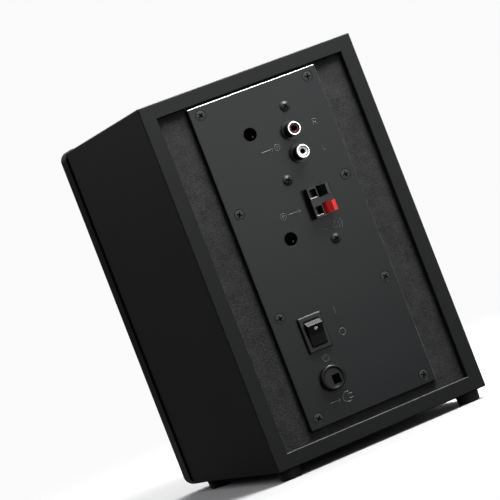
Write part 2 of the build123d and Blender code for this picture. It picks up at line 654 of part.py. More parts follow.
def transformer_bracket():
    """Steel strap over the core with a screwed foot on each side."""
    wide, _, tall = CORE
    half = wide / 2
    outside = Rectangle(wide + 2 * STRAP_T, tall + STRAP_T)
    strap = outside - Pos(0, -STRAP_T / 2) * Rectangle(wide, tall)
    foot_up = -(tall + STRAP_T) / 2 + STRAP_T / 2
    feet = [Pos(side * (half + STRAP_T + STRAP_FOOT / 2), foot_up) * Rectangle(STRAP_FOOT, STRAP_T)
            for side in (-1, 1)]
    bent = slab(strap + feet, TRANSFORMER_Y + STRAP_W / 2, STRAP_W, up=BOARD + (tall + STRAP_T) / 2)
    for side in (-1, 1):
        bent -= upright(SCREW_HOLE_R, side * strap_foot_x(), TRANSFORMER_Y, (height(0), height(BOARD + 5)))
    return bent


def transformer_screw(side):
    """Pan-head screw down through the bracket's foot into the bottom board."""
    seat = height(BOARD + STRAP_T)
    head = Pos(side * strap_foot_x(), TRANSFORMER_Y, seat) * Rot(90, 0, 0) * pan_head()
    shank = upright(SCREW_SHANK_R, side * strap_foot_x(), TRANSFORMER_Y, (height(2), seat + 0.01))
    return head + shank


def bottom_board():
    board = mitred_board((0, -1))
    for side in (-1, 1):
        board -= upright(SCREW_SHANK_R, side * strap_foot_x(), TRANSFORMER_Y, (height(2), height(BOARD + 1)))
    return board


# ---------------------------------------------------------------- woofer


def woofer_basket():
    """Pressed steel frame: flange, tapered wall with four windows, seat for the magnet."""
    basket = turned([
        (WOOFER_FLANGE_R, -WOOFER_FLANGE_T + 0.6), (WOOFER_FLANGE_R, 0), (46.3, 0), (45.3, 12),
        (28, BASKET_BACK), (12, BASKET_BACK), (12, BASKET_SEAT), (23, BASKET_SEAT), (23, SPIDER_DEPTH),
        (30.4, SPIDER_DEPTH), (43.9, 11.4), (44.6, CONE_LIP), (48.5, CONE_LIP), (48.5, -WOOFER_FLANGE_T),
        (WOOFER_FLANGE_R - 0.6, -WOOFER_FLANGE_T),
    ], 0, FRONT_Y, WOOFER_UP)
    for x, up in woofer_screw_places():
        basket -= rod(SCREW_HOLE_R, x, (FRONT_Y - 5, FRONT_Y + 1), height(up))
    window = Pos(41, FRONT_Y + 19, 0) * Box(22, 12, 34)
    for i in range(4):
        basket -= Pos(0, 0, height(WOOFER_UP)) * Rot(0, 90 * i, 0) * window
    return basket


def woofer_top_plate():
    return turned([(11, BASKET_BACK), (30, BASKET_BACK), (30, BASKET_BACK + TOP_PLATE_T),
                   (11, BASKET_BACK + TOP_PLATE_T)], 0, FRONT_Y, WOOFER_UP)


def woofer_magnet():
    top = BASKET_BACK + TOP_PLATE_T
    bevel = 1.2
    return turned([(15, top), (35 - bevel, top), (35, top + bevel), (35, top + MAGNET_T - bevel),
                   (35 - bevel, top + MAGNET_T), (15, top + MAGNET_T)], 0, FRONT_Y, WOOFER_UP)


def woofer_yoke():
    """Back plate and pole in one piece, vented through the middle."""
    top = BASKET_BACK + TOP_PLATE_T + MAGNET_T
    return turned([(3, BASKET_BACK), (9.4, BASKET_BACK), (9.4, top), (32, top), (32, top + YOKE_T - 0.8),
                   (31.2, top + YOKE_T), (3, top + YOKE_T)], 0, FRONT_Y, WOOFER_UP)


def woofer_voice_coil():
    """Paper former with its copper winding over the lower end."""
    outer = COIL_R + 0.1
    return turned([(9.75, 18), (outer, 18), (outer, 31), (10.6, 31), (10.6, 38.5), (9.75, 38.5)],
                  0, FRONT_Y, WOOFER_UP)


def woofer_cone():
    """Paper cone with a slightly flared wall and a flat lip for the surround."""
    neck = COIL_R + 0.15
    outline = Line((neck, 19.6), (neck, 18.6))
    outline += ThreePointArc((neck, 18.6), (21.5, 10.2), (36, CONE_LIP))
    outline += Line((36, CONE_LIP), (38, CONE_LIP))
    outline += Line((38, CONE_LIP), (38, CONE_LIP + 0.8))
    outline += Line((38, CONE_LIP + 0.8), (36.4, CONE_LIP + 0.8))
    outline += ThreePointArc((36.4, CONE_LIP + 0.8), (22, 11), (neck, 19.6))
    return turned_curve(outline, 0, FRONT_Y, WOOFER_UP)


def woofer_dust_cap():
    rim, top, wall = 13.4, 10.8, 0.6
    base = 15.4
    outline = cap_arc(rim, base, top, from_rim=False)
    outline += Line((rim, base), (rim - wall, base))
    outline += cap_arc(rim - wall, base, top + wall)
    outline += Line((0, top + wall), (0, top))
    return turned_curve(outline, 0, FRONT_Y, WOOFER_UP)


def woofer_surround():
    """Rubber half-roll between the cone's lip and the basket's ledge."""
    front = CONE_LIP - SURROUND_T
    low, high = ROLL_MIDDLE_R - ROLL_R, ROLL_MIDDLE_R + ROLL_R
    outline = Line((36.4, CONE_LIP), (36.4, front))
    outline += Line((36.4, front), (low, front))
    outline += ThreePointArc((low, front), (ROLL_MIDDLE_R, front - ROLL_R), (high, front))
    outline += Line((high, front), (48.3, front))
    outline += Line((48.3, front), (48.3, CONE_LIP))
    outline += Line((48.3, CONE_LIP), (high - SURROUND_T, CONE_LIP))
    outline += ThreePointArc((high - SURROUND_T, CONE_LIP), (ROLL_MIDDLE_R, CONE_LIP - ROLL_R + 0.1),
                             (low + SURROUND_T, CONE_LIP))
    outline += Line((low + SURROUND_T, CONE_LIP), (36.4, CONE_LIP))
    return turned_curve(outline, 0, FRONT_Y, WOOFER_UP)


def woofer_spider():
    """Corrugated disc between the voice coil and the basket's inner ledge."""
    inner, outer, thick, wave = COIL_R + 0.15, 29.5, 0.5, 1.1
    flat = 24.2
    bumps = 5
    step = (flat - inner) / bumps
    near = Line((inner, SPIDER_DEPTH - thick), (inner, SPIDER_DEPTH))
    far = Line((outer, SPIDER_DEPTH), (outer, SPIDER_DEPTH - thick))
    outline = near
    for i in range(bumps):
        side = wave if i % 2 else -wave
        start, end = inner + i * step, inner + (i + 1) * step
        crest = ((start + end) / 2, SPIDER_DEPTH + side)
        outline += ThreePointArc((start, SPIDER_DEPTH), crest, (end, SPIDER_DEPTH))
    outline += Line((flat, SPIDER_DEPTH), (outer, SPIDER_DEPTH))
    outline += far
    outline += Line((outer, SPIDER_DEPTH - thick), (flat, SPIDER_DEPTH - thick))
    for i in reversed(range(bumps)):
        side = wave if i % 2 else -wave
        start, end = inner + i * step, inner + (i + 1) * step
        depth = SPIDER_DEPTH - thick
        outline += ThreePointArc((end, depth), ((start + end) / 2, depth + side), (start, depth))
    return turned_curve(outline, 0, FRONT_Y, WOOFER_UP)


# ---------------------------------------------------------------- tweeter


def tweeter_faceplate():
    plate = turned([
        (14.2, 0.8), (23.5, -TWEETER_FLANGE_T), (TWEETER_FLANGE_R - 0.6, -TWEETER_FLANGE_T),
        (TWEETER_FLANGE_R, -TWEETER_FLANGE_T + 0.6), (TWEETER_FLANGE_R, 0), (24, 0),
        (24, TWEETER_HUB), (14.2, TWEETER_HUB),
    ], 0, FRONT_Y, TWEETER_UP)
    for x, up in tweeter_screw_places():
        plate -= rod(SCREW_HOLE_R, x, (FRONT_Y - 5, FRONT_Y + 1), height(up))
    return plate


def tweeter_dome():
    """Silk dome, its small roll and the former that carries the coil."""
    wall = 0.4
    top = DOME_BASE - DOME_RISE
    outline = cap_arc(DOME_R, DOME_BASE, top, from_rim=False)
    outline += ThreePointArc((DOME_R, DOME_BASE), (13.2, DOME_BASE - 0.8), (13.85, DOME_BASE))
    outline += Line((13.85, DOME_BASE), (13.85, DOME_BASE + wall))
    outline += Line((13.85, DOME_BASE + wall), (DOME_R, DOME_BASE + wall))
    outline += Line((DOME_R, DOME_BASE + wall), (DOME_R, 7))
    outline += Line((DOME_R, 7), (DOME_R - wall, 7))
    outline += Line((DOME_R - wall, 7), (DOME_R - wall, DOME_BASE + wall))
    outline += cap_arc(DOME_R - wall, DOME_BASE + wall, top + wall)
    outline += Line((0, top + wall), (0, top))
    return turned_curve(outline, 0, FRONT_Y, TWEETER_UP)


def tweeter_top_plate():
    return turned([(12.9, TWEETER_HUB), (23, TWEETER_HUB), (23, 7), (12.9, 7)], 0, FRONT_Y, TWEETER_UP)


def tweeter_magnet():
    return turned([(15, 7), (24, 7), (24, 13), (15, 13)], 0, FRONT_Y, TWEETER_UP)


def tweeter_yoke():
    return turned([(0, 4.2), (11.7, 4.2), (11.7, 13), (22, 13), (22, 16), (0, 16)], 0, FRONT_Y, TWEETER_UP)


# ---------------------------------------------------------------- grille


def grille_frame():
    """Moulded ring with corner gussets, rounded round its front edge, cloth laid in a shallow rebate."""
    outer = RectangleRounded(GRILLE_W, GRILLE_H, GRILLE_PLAN_R)
    frame = slab(outer, GRILLE_BACK_Y, GRILLE_T, up=CABINET_H / 2)
    frame = fillet(frame.faces().sort_by(Axis.Y)[0].edges(), GRILLE_EDGE_R)
    opening = Rectangle(GRILLE_W - 2 * GRILLE_BAR, GRILLE_H - 2 * GRILLE_BAR)
    opening = chamfer(opening.vertices(), GRILLE_GUSSET)
    frame -= slab(opening, GRILLE_BACK_Y + 1, GRILLE_T + 2, up=CABINET_H / 2)
    frame -= grille_cloth()
    for x, up in peg_places():
        frame -= rod(PEG_R, x, (GRILLE_BACK_Y - 5, GRILLE_BACK_Y + 1), height(up))
    return frame


def grille_cloth():
    sheet = RectangleRounded(GRILLE_W - 2 * CLOTH_INSET, GRILLE_H - 2 * CLOTH_INSET, 1)
    return slab(sheet, GRILLE_FRONT_Y + CLOTH_T, CLOTH_T, up=CABINET_H / 2)


def grille_peg(x, up):
    peg = rod(PEG_R, x, (GRILLE_BACK_Y - 5, FRONT_Y + PEG_REACH), height(up))
    return fillet(peg.faces().sort_by(Axis.Y)[-1].edges(), 1.4)


def grille_socket(x, up):
    """Plastic cup pressed into the baffle, with a thin rim on its face."""
    z = height(up)
    cup = rod(SOCKET_R, x, (FRONT_Y - 0.01, FRONT_Y + PEG_REACH + 2), z)
    cup += rod(SOCKET_RIM_R, x, (FRONT_Y - SOCKET_RIM_T, FRONT_Y), z)
    return cup - rod(PEG_R + RUNNING_GAP, x, (FRONT_Y - 3, FRONT_Y + PEG_REACH + 0.6), z)


# ---------------------------------------------------------------- wiring and damping
def corner_radii(points):
    """Radius of the arc at each inner point, as large as its two runs allow."""
    radii = []
    for before, here, after in zip(points, points[1:], points[2:]):
        run_in = Vector(*here) - Vector(*before)
        run_out = Vector(*after) - Vector(*here)
        turn = radians(run_in.get_angle(run_out))
        radii.append(0.45 * min(run_in.length, run_out.length) / tan(turn / 2))
    return radii


def lead(points):
    """Insulated wire along a route of straight runs joined by arcs."""
    path = FilletPolyline(*points, radius=corner_radii(points))
    start = Plane(origin=points[0], z_dir=Vector(*points[1]) - Vector(*points[0]))
    return sweep(start * Circle(LEAD_R), path=path)


def lead_pair(points):
    """Two wires side by side, a pitch apart across the speaker."""
    return [lead([(x + side * LEAD_PITCH / 2, y, z) for x, y, z in points]) for side in (-1, 1)]


def woofer_leads():
    end_r = 35.5
    end = (end_r * cos(radians(45)), FRONT_Y + 22.5, height(WOOFER_UP) + end_r * sin(radians(45)))
    return lead_pair([
        (22, AMP_BOARD_INNER_Y, 128), (22.5, 46, 126), (25, 25, 119), (28, 3, 113.5),
        (29, -20, 111), (27.5, -38, 107.5), end,
    ])


def tweeter_leads():
    return lead_pair([
        (-22, AMP_BOARD_INNER_Y, 158), (-21.5, 50, 159.5), (-19, 33, 163.5), (-15.5, 14, 168), (-12, -5, 170.5),
        (-10, -25, 171.5), (-9.5, -42, 172.2), (-9, FRONT_Y + 15, 172),
    ])


def damping_pad():
    """Polyester wadding against the left wall."""
    wall = -INNER_W / 2
    pad = block((wall, wall + 12), (-42, 52), (height(24), height(184)))
    return fillet(pad.edges().filter_by(Axis.X), 6)


# ---------------------------------------------------------------- all the pieces
def all_parts():
    parts = {
        "top_board": mitred_board((0, 1)),
        "bottom_board": bottom_board(),
        "left_side_board": mitred_board((-1, 0)),
        "right_side_board": mitred_board((1, 0)),
        "rear_panel": rear_panel(),
        "front_baffle": front_baffle(),
        "damping_pad": damping_pad(),
        "amp_plate": amp_plate(),
        "plate_gasket": plate_gasket(),
        "plate_screws": group(
            plate_screw(*place, turn) for place, turn in zip(plate_screw_places(), CROSS_TURNS)),
        "board_screws": group(board_screw(*place, turn) for place, turn in zip(BOARD_SCREWS, CROSS_TURNS)),
        "board_spacers": group(board_spacer(x, up) for x, up in BOARD_SCREWS),
        "amp_board": amp_board(),
        "heat_sink": heat_sink(),
        "amp_chip": amp_chip(),
        "rca_housing": rca_housing(),
        "terminal_body": terminal_body(),
        "terminal_contacts": group(terminal_contact(up) for up in LEVER_UP.values()),
        "switch_housing": switch_housing(),
        "switch_rocker": switch_rocker(),
        "switch_lugs": group(switch_lugs()),
        "power_gland": power_gland(),
        "transformer_core": transformer_core(),
        "transformer_winding": transformer_winding(),
        "transformer_bracket": transformer_bracket(),
        "transformer_screws": group(transformer_screw(side) for side in (-1, 1)),
        "woofer_basket": woofer_basket(),
        "woofer_top_plate": woofer_top_plate(),
        "woofer_magnet": woofer_magnet(),
        "woofer_yoke": woofer_yoke(),
        "woofer_voice_coil": woofer_voice_coil(),
        "woofer_spider": woofer_spider(),
        "woofer_cone": woofer_cone(),
        "woofer_dust_cap": woofer_dust_cap(),
        "woofer_surround": woofer_surround(),
        "tweeter_faceplate": tweeter_faceplate(),
        "tweeter_dome": tweeter_dome(),
        "tweeter_top_plate": tweeter_top_plate(),
        "tweeter_magnet": tweeter_magnet(),
        "tweeter_yoke": tweeter_yoke(),
        "speaker_leads": group(woofer_leads() + tweeter_leads()),
        "grille_frame": grille_frame(),
        "grille_cloth": grille_cloth(),
        "grille_pegs": group(grille_peg(x, up) for x, up in peg_places()),
        "grille_sockets": group(grille_socket(x, up) for x, up in peg_places()),
    }
    seats = [(x, up, FRONT_Y - WOOFER_FLANGE_T) for x, up in woofer_screw_places()]
    seats += [(x, up, FRONT_Y - TWEETER_FLANGE_T) for x, up in tweeter_screw_places()]
    parts["driver_screws"] = group(driver_screw(*seat, turn) for seat, turn in zip(seats, CROSS_TURNS))
    for colour, up in RCA_UP.items():
        parts["rca_shell_" + colour] = rca_shell(up)
        parts["rca_insulator_" + colour] = rca_insulator(up)
    for colour, up in LEVER_UP.items():
        parts["terminal_lever_" + colour] = terminal_lever(up)
    for name, up in MINI_JACK_UP.items():
        parts[name + "_jack"] = mini_jack(up)
    for side, x in (("left", -18.0), ("right", 18.0)):
        parts["filter_capacitor_" + side] = filter_capacitor(x)
    across = CABINET_W / 2 - FOOT_SIDE_INSET
    for row, y in (("rear", LIP_Y - FOOT_REAR_INSET), ("front", FRONT_Y + FOOT_FRONT_INSET)):
        for side, x in (("left", -across), ("right", across)):
            parts["foot_" + row + "_" + side] = foot(x, y)
    return parts


os.makedirs("parts", exist_ok=True)
for node, shape in all_parts().items():
    export_step(shape, "parts/" + node + ".step")
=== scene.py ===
import json
import math

import bmesh
import bpy
from mathutils import Matrix, Vector
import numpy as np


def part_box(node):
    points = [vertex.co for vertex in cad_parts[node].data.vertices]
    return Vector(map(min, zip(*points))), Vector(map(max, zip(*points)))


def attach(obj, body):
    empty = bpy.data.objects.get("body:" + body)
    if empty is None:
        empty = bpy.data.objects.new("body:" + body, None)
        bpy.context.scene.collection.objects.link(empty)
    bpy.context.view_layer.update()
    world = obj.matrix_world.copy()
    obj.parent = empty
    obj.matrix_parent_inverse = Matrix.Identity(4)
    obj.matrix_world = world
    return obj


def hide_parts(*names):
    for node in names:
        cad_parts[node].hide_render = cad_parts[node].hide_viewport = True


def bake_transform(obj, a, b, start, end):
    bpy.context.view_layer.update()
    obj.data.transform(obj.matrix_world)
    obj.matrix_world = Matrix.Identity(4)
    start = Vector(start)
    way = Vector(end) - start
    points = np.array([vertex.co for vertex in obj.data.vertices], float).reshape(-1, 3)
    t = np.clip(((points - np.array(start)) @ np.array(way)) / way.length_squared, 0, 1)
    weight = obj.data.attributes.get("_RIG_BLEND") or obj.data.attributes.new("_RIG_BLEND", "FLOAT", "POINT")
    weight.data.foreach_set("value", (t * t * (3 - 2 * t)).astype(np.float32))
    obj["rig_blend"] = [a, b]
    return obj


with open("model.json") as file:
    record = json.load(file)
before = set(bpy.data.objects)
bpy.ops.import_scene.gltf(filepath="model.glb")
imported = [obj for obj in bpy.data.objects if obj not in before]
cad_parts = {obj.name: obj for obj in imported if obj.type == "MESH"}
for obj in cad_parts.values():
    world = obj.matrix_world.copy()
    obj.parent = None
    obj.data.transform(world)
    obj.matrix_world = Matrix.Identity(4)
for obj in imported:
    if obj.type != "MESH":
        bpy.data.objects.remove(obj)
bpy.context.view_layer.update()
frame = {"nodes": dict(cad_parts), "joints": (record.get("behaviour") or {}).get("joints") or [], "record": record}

MM = 0.001


# ---------------------------------------------------------------- places taken from the frame
def span(node):
    """Middle and size of a CAD node, in metres."""
    low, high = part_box(node)
    return (low + high) / 2, high - low


cabinet_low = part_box("bottom_board")[0]
cabinet_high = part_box("top_board")[1]
PLATE_LOW, PLATE_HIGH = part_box("amp_plate")
PLATE_FACE = PLATE_HIGH.y
LIP_Y = cabinet_high.y
CABINET_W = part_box("right_side_board")[1].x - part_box("left_side_board")[0].x


# ---------------------------------------------------------------- camera
# The camera stands behind the speaker, level with its middle, and is rolled about its own axis.
CAMERA_YAW = math.radians(19.895)
CAMERA_ROLL = math.radians(21.299)
CAMERA_BACK = 1374.72 * MM          # behind the rear lips
CAMERA_ACROSS = 464.86 * MM         # beyond the cabinet's right-hand wall
CAMERA_UP = 131.55 * MM             # above the cabinet's underside
FOCAL_OVER_WIDTH = 2559.0 / 500.0
SENSOR = 36.0


def make_camera():
    forward = Vector((-math.sin(CAMERA_YAW), -math.cos(CAMERA_YAW), 0))
    right = Vector((-math.cos(CAMERA_YAW), math.sin(CAMERA_YAW), 0))
    up = Vector((0, 0, 1))
    across = right * math.cos(CAMERA_ROLL) - up * math.sin(CAMERA_ROLL)
    upward = right * math.sin(CAMERA_ROLL) + up * math.cos(CAMERA_ROLL)
    data = bpy.data.cameras.new("camera")
    data.sensor_width = SENSOR
    data.lens = FOCAL_OVER_WIDTH * SENSOR
    data.shift_x = 0.0092
    data.shift_y = -0.0235
    data.clip_end = 50
    camera = bpy.data.objects.new("camera", data)
    bpy.context.scene.collection.objects.link(camera)
    turn = Matrix((across, upward, -forward)).transposed().to_4x4()
    place = Vector((CABINET_W / 2 + CAMERA_ACROSS, LIP_Y + CAMERA_BACK, cabinet_low.z + CAMERA_UP))
    camera.matrix_world = Matrix.Translation(place) @ turn
    bpy.context.scene.camera = camera


# ---------------------------------------------------------------- node helpers
class Nodes:
    """Small wrapper that adds and links shader nodes."""

    def __init__(self, name):
        self.material = bpy.data.materials.new(name)
        self.material.use_nodes = True
        self.tree = self.material.node_tree
        self.shader = self.tree.nodes["Principled BSDF"]
        self.place = self.add("ShaderNodeTexCoord").outputs["Object"]

    def add(self, kind, **settings):
        node = self.tree.nodes.new(kind)
        for key, value in settings.items():
            if hasattr(node, key):
                setattr(node, key, value)
            else:
                node.inputs[key.replace("_", " ")].default_value = value
        return node

    def link(self, source, target):
        self.tree.links.new(source, target)

    def stretched(self, scale):
        """Object coordinates scaled along each axis."""
        node = self.add("ShaderNodeMapping")
        node.inputs["Scale"].default_value = scale
        self.link(self.place, node.inputs["Vector"])
        return node.outputs["Vector"]

    def noise(self, scale, detail=2.0, roughness=0.5, vector=None):
        node = self.add("ShaderNodeTexNoise", Scale=scale, Detail=detail, Roughness=roughness)
        self.link(vector or self.place, node.inputs["Vector"])
        return node.outputs["Fac"]

    def cells(self, scale, feature="F1"):
        node = self.add("ShaderNodeTexVoronoi", Scale=scale)
        node.feature = feature
        self.link(self.place, node.inputs["Vector"])
        return node.outputs["Distance"]

    def ramp(self, factor, stops):
        node = self.add("ShaderNodeValToRGB")
        ramp = node.color_ramp
        while len(ramp.elements) < len(stops):
            ramp.elements.new(0.5)
        for element, (position, colour) in zip(ramp.elements, stops):
            element.position = position
            element.color = (*colour, 1.0)
        self.link(factor, node.inputs["Fac"])
        return node.outputs["Color"]

    def math(self, operation, a, b=None):
        node = self.add("ShaderNodeMath")
        node.operation = operation
        for value, socket in ((a, node.inputs[0]), (b, node.inputs[1])):
            if value is None:
                continue
            if isinstance(value, (int, float)):
                socket.default_value = value
            else:
                self.link(value, socket)
        return node.outputs[0]

    def mix(self, factor, a, b):
        """Colour a where the factor is 0 and the plain colour b where it is 1."""
        node = self.add("ShaderNodeMix")
        node.data_type = "RGBA"
        self.link(factor, node.inputs["Factor"])
        self.link(a, node.inputs[6])
        node.inputs[7].default_value = b
        return node.outputs[2]

    def surface_direction(self):
        split = self.add("ShaderNodeSeparateXYZ")
        self.link(self.add("ShaderNodeNewGeometry").outputs["Normal"], split.inputs[0])
        return split.outputs

    def position(self):
        split = self.add("ShaderNodeSeparateXYZ")
        self.link(self.place, split.inputs[0])
        return split.outputs

    def painted_highlight_rim(self, low, high, width):
        """Painted highlight mask: 1 on the eased upper and -X edges of a plate that looks along Y, the edges where
        the light falls.

        `width` is how far the band reaches in from the plate's outline.
        """
        direction = self.surface_direction()
        turned_up = self.math("MAXIMUM", direction[2], self.math("MULTIPLY", direction[0], -1.0))
        eased = self.math("GREATER_THAN", turned_up, TURNED_UP)
        place = self.position()
        near_top = self.math("GREATER_THAN", place[2], high.z - width)
        near_side = self.math("LESS_THAN", place[0], low.x + width)
        return self.math("MULTIPLY", eased, self.math("MAXIMUM", near_top, near_side))

    def fold_highlight_mask(self, flat):
        """Painted highlight mask: 1 on eased edges that look upwards, towards the light: there the surface faces
        along none of the three axes.
        """
        direction = self.surface_direction()
        parts = [self.math("ABSOLUTE", part) for part in direction]
        largest = self.math("MAXIMUM", self.math("MAXIMUM", parts[0], parts[1]), parts[2])
        upwards = self.math("GREATER_THAN", direction[2], FOLD_UP)
        return self.math("MULTIPLY", upwards, self.math("LESS_THAN", largest, flat))

    def set(self, **values):
        """Uniform values go straight on the shader's own sockets."""
        for key, value in values.items():
            self.shader.inputs[key.replace("_", " ")].default_value = value

    def colour(self, output):
        self.link(output, self.shader.inputs["Base Color"])

    def roughness(self, factor, low, high):
        node = self.add("ShaderNodeMapRange")
        self.link(factor, node.inputs["Value"])
        node.inputs["To Min"].default_value = low
        node.inputs["To Max"].default_value = high
        self.link(node.outputs["Result"], self.shader.inputs["Roughness"])

    def bump(self, height, depth, strength):
        node = self.add("ShaderNodeBump", Strength=strength, Distance=depth)
        self.link(height, node.inputs["Height"])
        self.link(node.outputs["Normal"], self.shader.inputs["Normal"])


# ---------------------------------------------------------------- materials
# Width of the painted highlight band along the plate's upper and -X edges.
HIGHLIGHT_BAND = 0.9 * MM
WALL_TURN = 0.6             # a face turned further than this from Y counts as a hole's wall
POLISHED_RIM = 0.75 * MM
# How far an eased plate edge must turn up or towards -X to get the painted highlight.
TURNED_UP = 0.2
# How far an eased vinyl edge must face upwards to get the painted highlight.
FOLD_UP = 0.15


def black_vinyl():
    """Satin vinyl wrap with a fine leather-like grain, and painted highlight: lighter grey on its up-facing folds.
    """
    m = Nodes("black_vinyl")
    grain = m.noise(1400, 3, 0.6)
    patches = m.noise(18, 2)
    skin = m.ramp(patches, [(0.3, (0.0065, 0.0073, 0.007)), (0.7, (0.0085, 0.0093, 0.009))])
    vinyl_fold_highlight = m.fold_highlight_mask(0.96)
    m.colour(m.mix(vinyl_fold_highlight, skin, (0.075, 0.077, 0.075, 1)))
    m.roughness(grain, 0.42, 0.6)
    m.bump(grain, 0.00004, 0.35)
    m.set(Specular_IOR_Level=0.3)
    return m.material


def rear_board_vinyl():
    """Coarser, speckled vinyl on the recessed rear panel."""
    m = Nodes("rear_board_vinyl")
    grain = m.noise(1050, 3, 0.75)
    blotches = m.noise(140, 3, 0.6)
    speckle = m.math("ADD", m.math("MULTIPLY", grain, 0.75), m.math("MULTIPLY", blotches, 0.25))
    m.colour(m.ramp(speckle, [(0.42, (0.004, 0.004, 0.004)), (0.6, (0.034, 0.0345, 0.0335))]))
    m.roughness(grain, 0.5, 0.8)
    m.bump(grain, 0.00035, 0.9)
    m.set(Specular_IOR_Level=0.35)
    return m.material


def plate_paint():
    """Satin powder coat with a faint orange peel.

    Along its upper and -X edges, where the light falls, it carries painted highlight as bright steel, and the
    walls of its holes are painted near-black as painted shade.
    """
    m = Nodes("plate_paint")
    peel = m.noise(900, 2, 0.5)
    drift = m.noise(9, 1)
    paint = m.ramp(drift, [(0.3, (0.0085, 0.0096, 0.01)), (0.7, (0.011, 0.0122, 0.0128))])
    # Painted highlight: bright steel laid only on the edges where the light falls.
    edge_highlight = m.painted_highlight_rim(PLATE_LOW, PLATE_HIGH, HIGHLIGHT_BAND)
    # Painted shade: the walls of the plate's holes are painted near-black.
    wall = m.math("LESS_THAN", m.math("ABSOLUTE", m.surface_direction()[1]), WALL_TURN)
    shaded = m.mix(wall, paint, (0.0015, 0.0015, 0.0015, 1))
    m.colour(m.mix(edge_highlight, shaded, (0.75, 0.75, 0.74, 1)))
    m.link(edge_highlight, m.shader.inputs["Metallic"])
    m.roughness(peel, 0.28, 0.36)
    m.bump(peel, 0.00002, 0.3)
    m.set(Specular_IOR_Level=0.38)
    return m.material


def moulded_plastic(name, colour, rough, texture=1800):
    m = Nodes(name)
    grain = m.noise(texture, 2)
    lighter = tuple(min(1.0, c * 1.18) for c in colour)
    m.colour(m.ramp(m.noise(60, 2), [(0.3, colour), (0.7, lighter)]))
    m.roughness(grain, *rough)
    m.bump(grain, 0.00002, 0.4)
    return m.material


def plated_metal(name, colour, rough, scale=500):
    m = Nodes(name)
    wear = m.noise(scale, 3, 0.6)
    darker = tuple(c * 0.82 for c in colour)
    m.colour(m.ramp(wear, [(0.3, darker), (0.65, colour)]))
    m.roughness(wear, *rough)
    m.bump(wear, 0.00001, 0.3)
    m.set(Metallic=1.0)
    return m.material


def rubber():
    """Matt black rubber with a little dust on it."""
    m = Nodes("rubber")
    dust = m.noise(300, 4, 0.7)
    m.colour(m.ramp(dust, [(0.35, (0.012, 0.012, 0.012)), (0.75, (0.0216, 0.0216, 0.0216))]))
    m.roughness(dust, 0.6, 0.85)
    m.bump(dust, 0.00005, 0.4)
    return m.material


def painted_shade_black(name):
    """Painted shade: near-black for the bottom of a recess, with next to no shine."""
    m = Nodes(name)
    shade_speckle = m.noise(900, 2)
    m.colour(m.ramp(shade_speckle, [(0.3, (0.0004, 0.0004, 0.0004)), (0.7, (0.0012, 0.0012, 0.0012))]))
    m.roughness(shade_speckle, 0.8, 0.95)
    m.set(Specular_IOR_Level=0.03)
    return m.material


def woven(name, colour, threads_per_metre, depth, rough=0.9):
    """Plain weave: two crossed rows of threads that pass over and under each other."""
    m = Nodes(name)
    pitch = 2 * math.pi * threads_per_metre
    split = m.add("ShaderNodeSeparateXYZ")
    m.link(m.place, split.inputs[0])
    flat = m.math("ADD", split.outputs[0], split.outputs[1])
    warp = m.math("SINE", m.math("MULTIPLY", flat, pitch))
    weft = m.math("SINE", m.math("MULTIPLY", split.outputs[2], pitch))
    crossing = m.math("MULTIPLY", warp, weft)
    level = m.math("ADD", m.math("MULTIPLY", crossing, 0.5), 0.5)
    slubs = m.noise(threads_per_metre * 0.3, 3, 0.7)
    uneven = m.math("ADD", m.math("MULTIPLY", level, 0.7), m.math("MULTIPLY", slubs, 0.3))
    darker = tuple(c * 0.2 for c in colour)
    m.colour(m.ramp(uneven, [(0.25, darker), (0.75, colour)]))
    m.bump(level, depth, 0.8)
    m.set(Roughness=rough, Sheen_Weight=0.15, Sheen_Roughness=0.5)
    return m.material


def circuit_board():
    m = Nodes("circuit_board")
    tracks = m.cells(260, "DISTANCE_TO_EDGE")
    m.colour(m.ramp(tracks, [(0.02, (0.02, 0.12, 0.05)), (0.06, (0.012, 0.07, 0.03))]))
    m.roughness(tracks, 0.25, 0.4)
    m.bump(tracks, 0.00003, 0.4)
    return m.material


def laminations():
    """Stacked sheet steel: fine lines across the stack."""
    m = Nodes("laminations")
    stack = m.add("ShaderNodeTexWave", Scale=310.0, Distortion=0.4)
    stack.bands_direction = "Y"
    m.link(m.place, stack.inputs["Vector"])
    m.colour(m.ramp(stack.outputs["Fac"], [(0.1, (0.05, 0.045, 0.04)), (0.6, (0.2, 0.19, 0.18))]))
    m.roughness(stack.outputs["Fac"], 0.35, 0.6)
    m.bump(stack.outputs["Fac"], 0.0001, 0.6)
    m.set(Metallic=0.8)
    return m.material


def wadding():
    m = Nodes("wadding")
    fibres = m.noise(90, 8, 0.8, m.stretched((1, 2.2, 0.8)))
    m.colour(m.ramp(fibres, [(0.35, (0.45, 0.45, 0.43)), (0.65, (0.8, 0.8, 0.78))]))
    m.bump(fibres, 0.002, 0.9)
    m.set(Roughness=1.0, Sheen_Weight=0.3)
    return m.material


def rca_metal():
    """Barrel that is dark below its front rim and bright chrome along the rim."""
    m = Nodes("rca_metal")
    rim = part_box("rca_shell_red")[1].y - POLISHED_RIM
    bright = m.math("GREATER_THAN", m.position()[1], rim)
    wear = m.noise(700, 3, 0.6)
    body = m.ramp(wear, [(0.3, (0.03, 0.03, 0.03)), (0.7, (0.07, 0.07, 0.07))])
    m.colour(m.mix(bright, body, (0.92, 0.92, 0.91, 1)))
    m.roughness(wear, 0.14, 0.26)
    m.set(Metallic=1.0)
    return m.material


def paper_cone():
    """Pressed paper with short fibres."""
    m = Nodes("cone_paper")
    fibres = m.noise(420, 6, 0.75)
    m.colour(m.ramp(fibres, [(0.3, (0.012, 0.012, 0.012)), (0.75, (0.03, 0.03, 0.03))]))
    m.roughness(fibres, 0.6, 0.85)
    m.bump(fibres, 0.00012, 0.6)
    return m.material


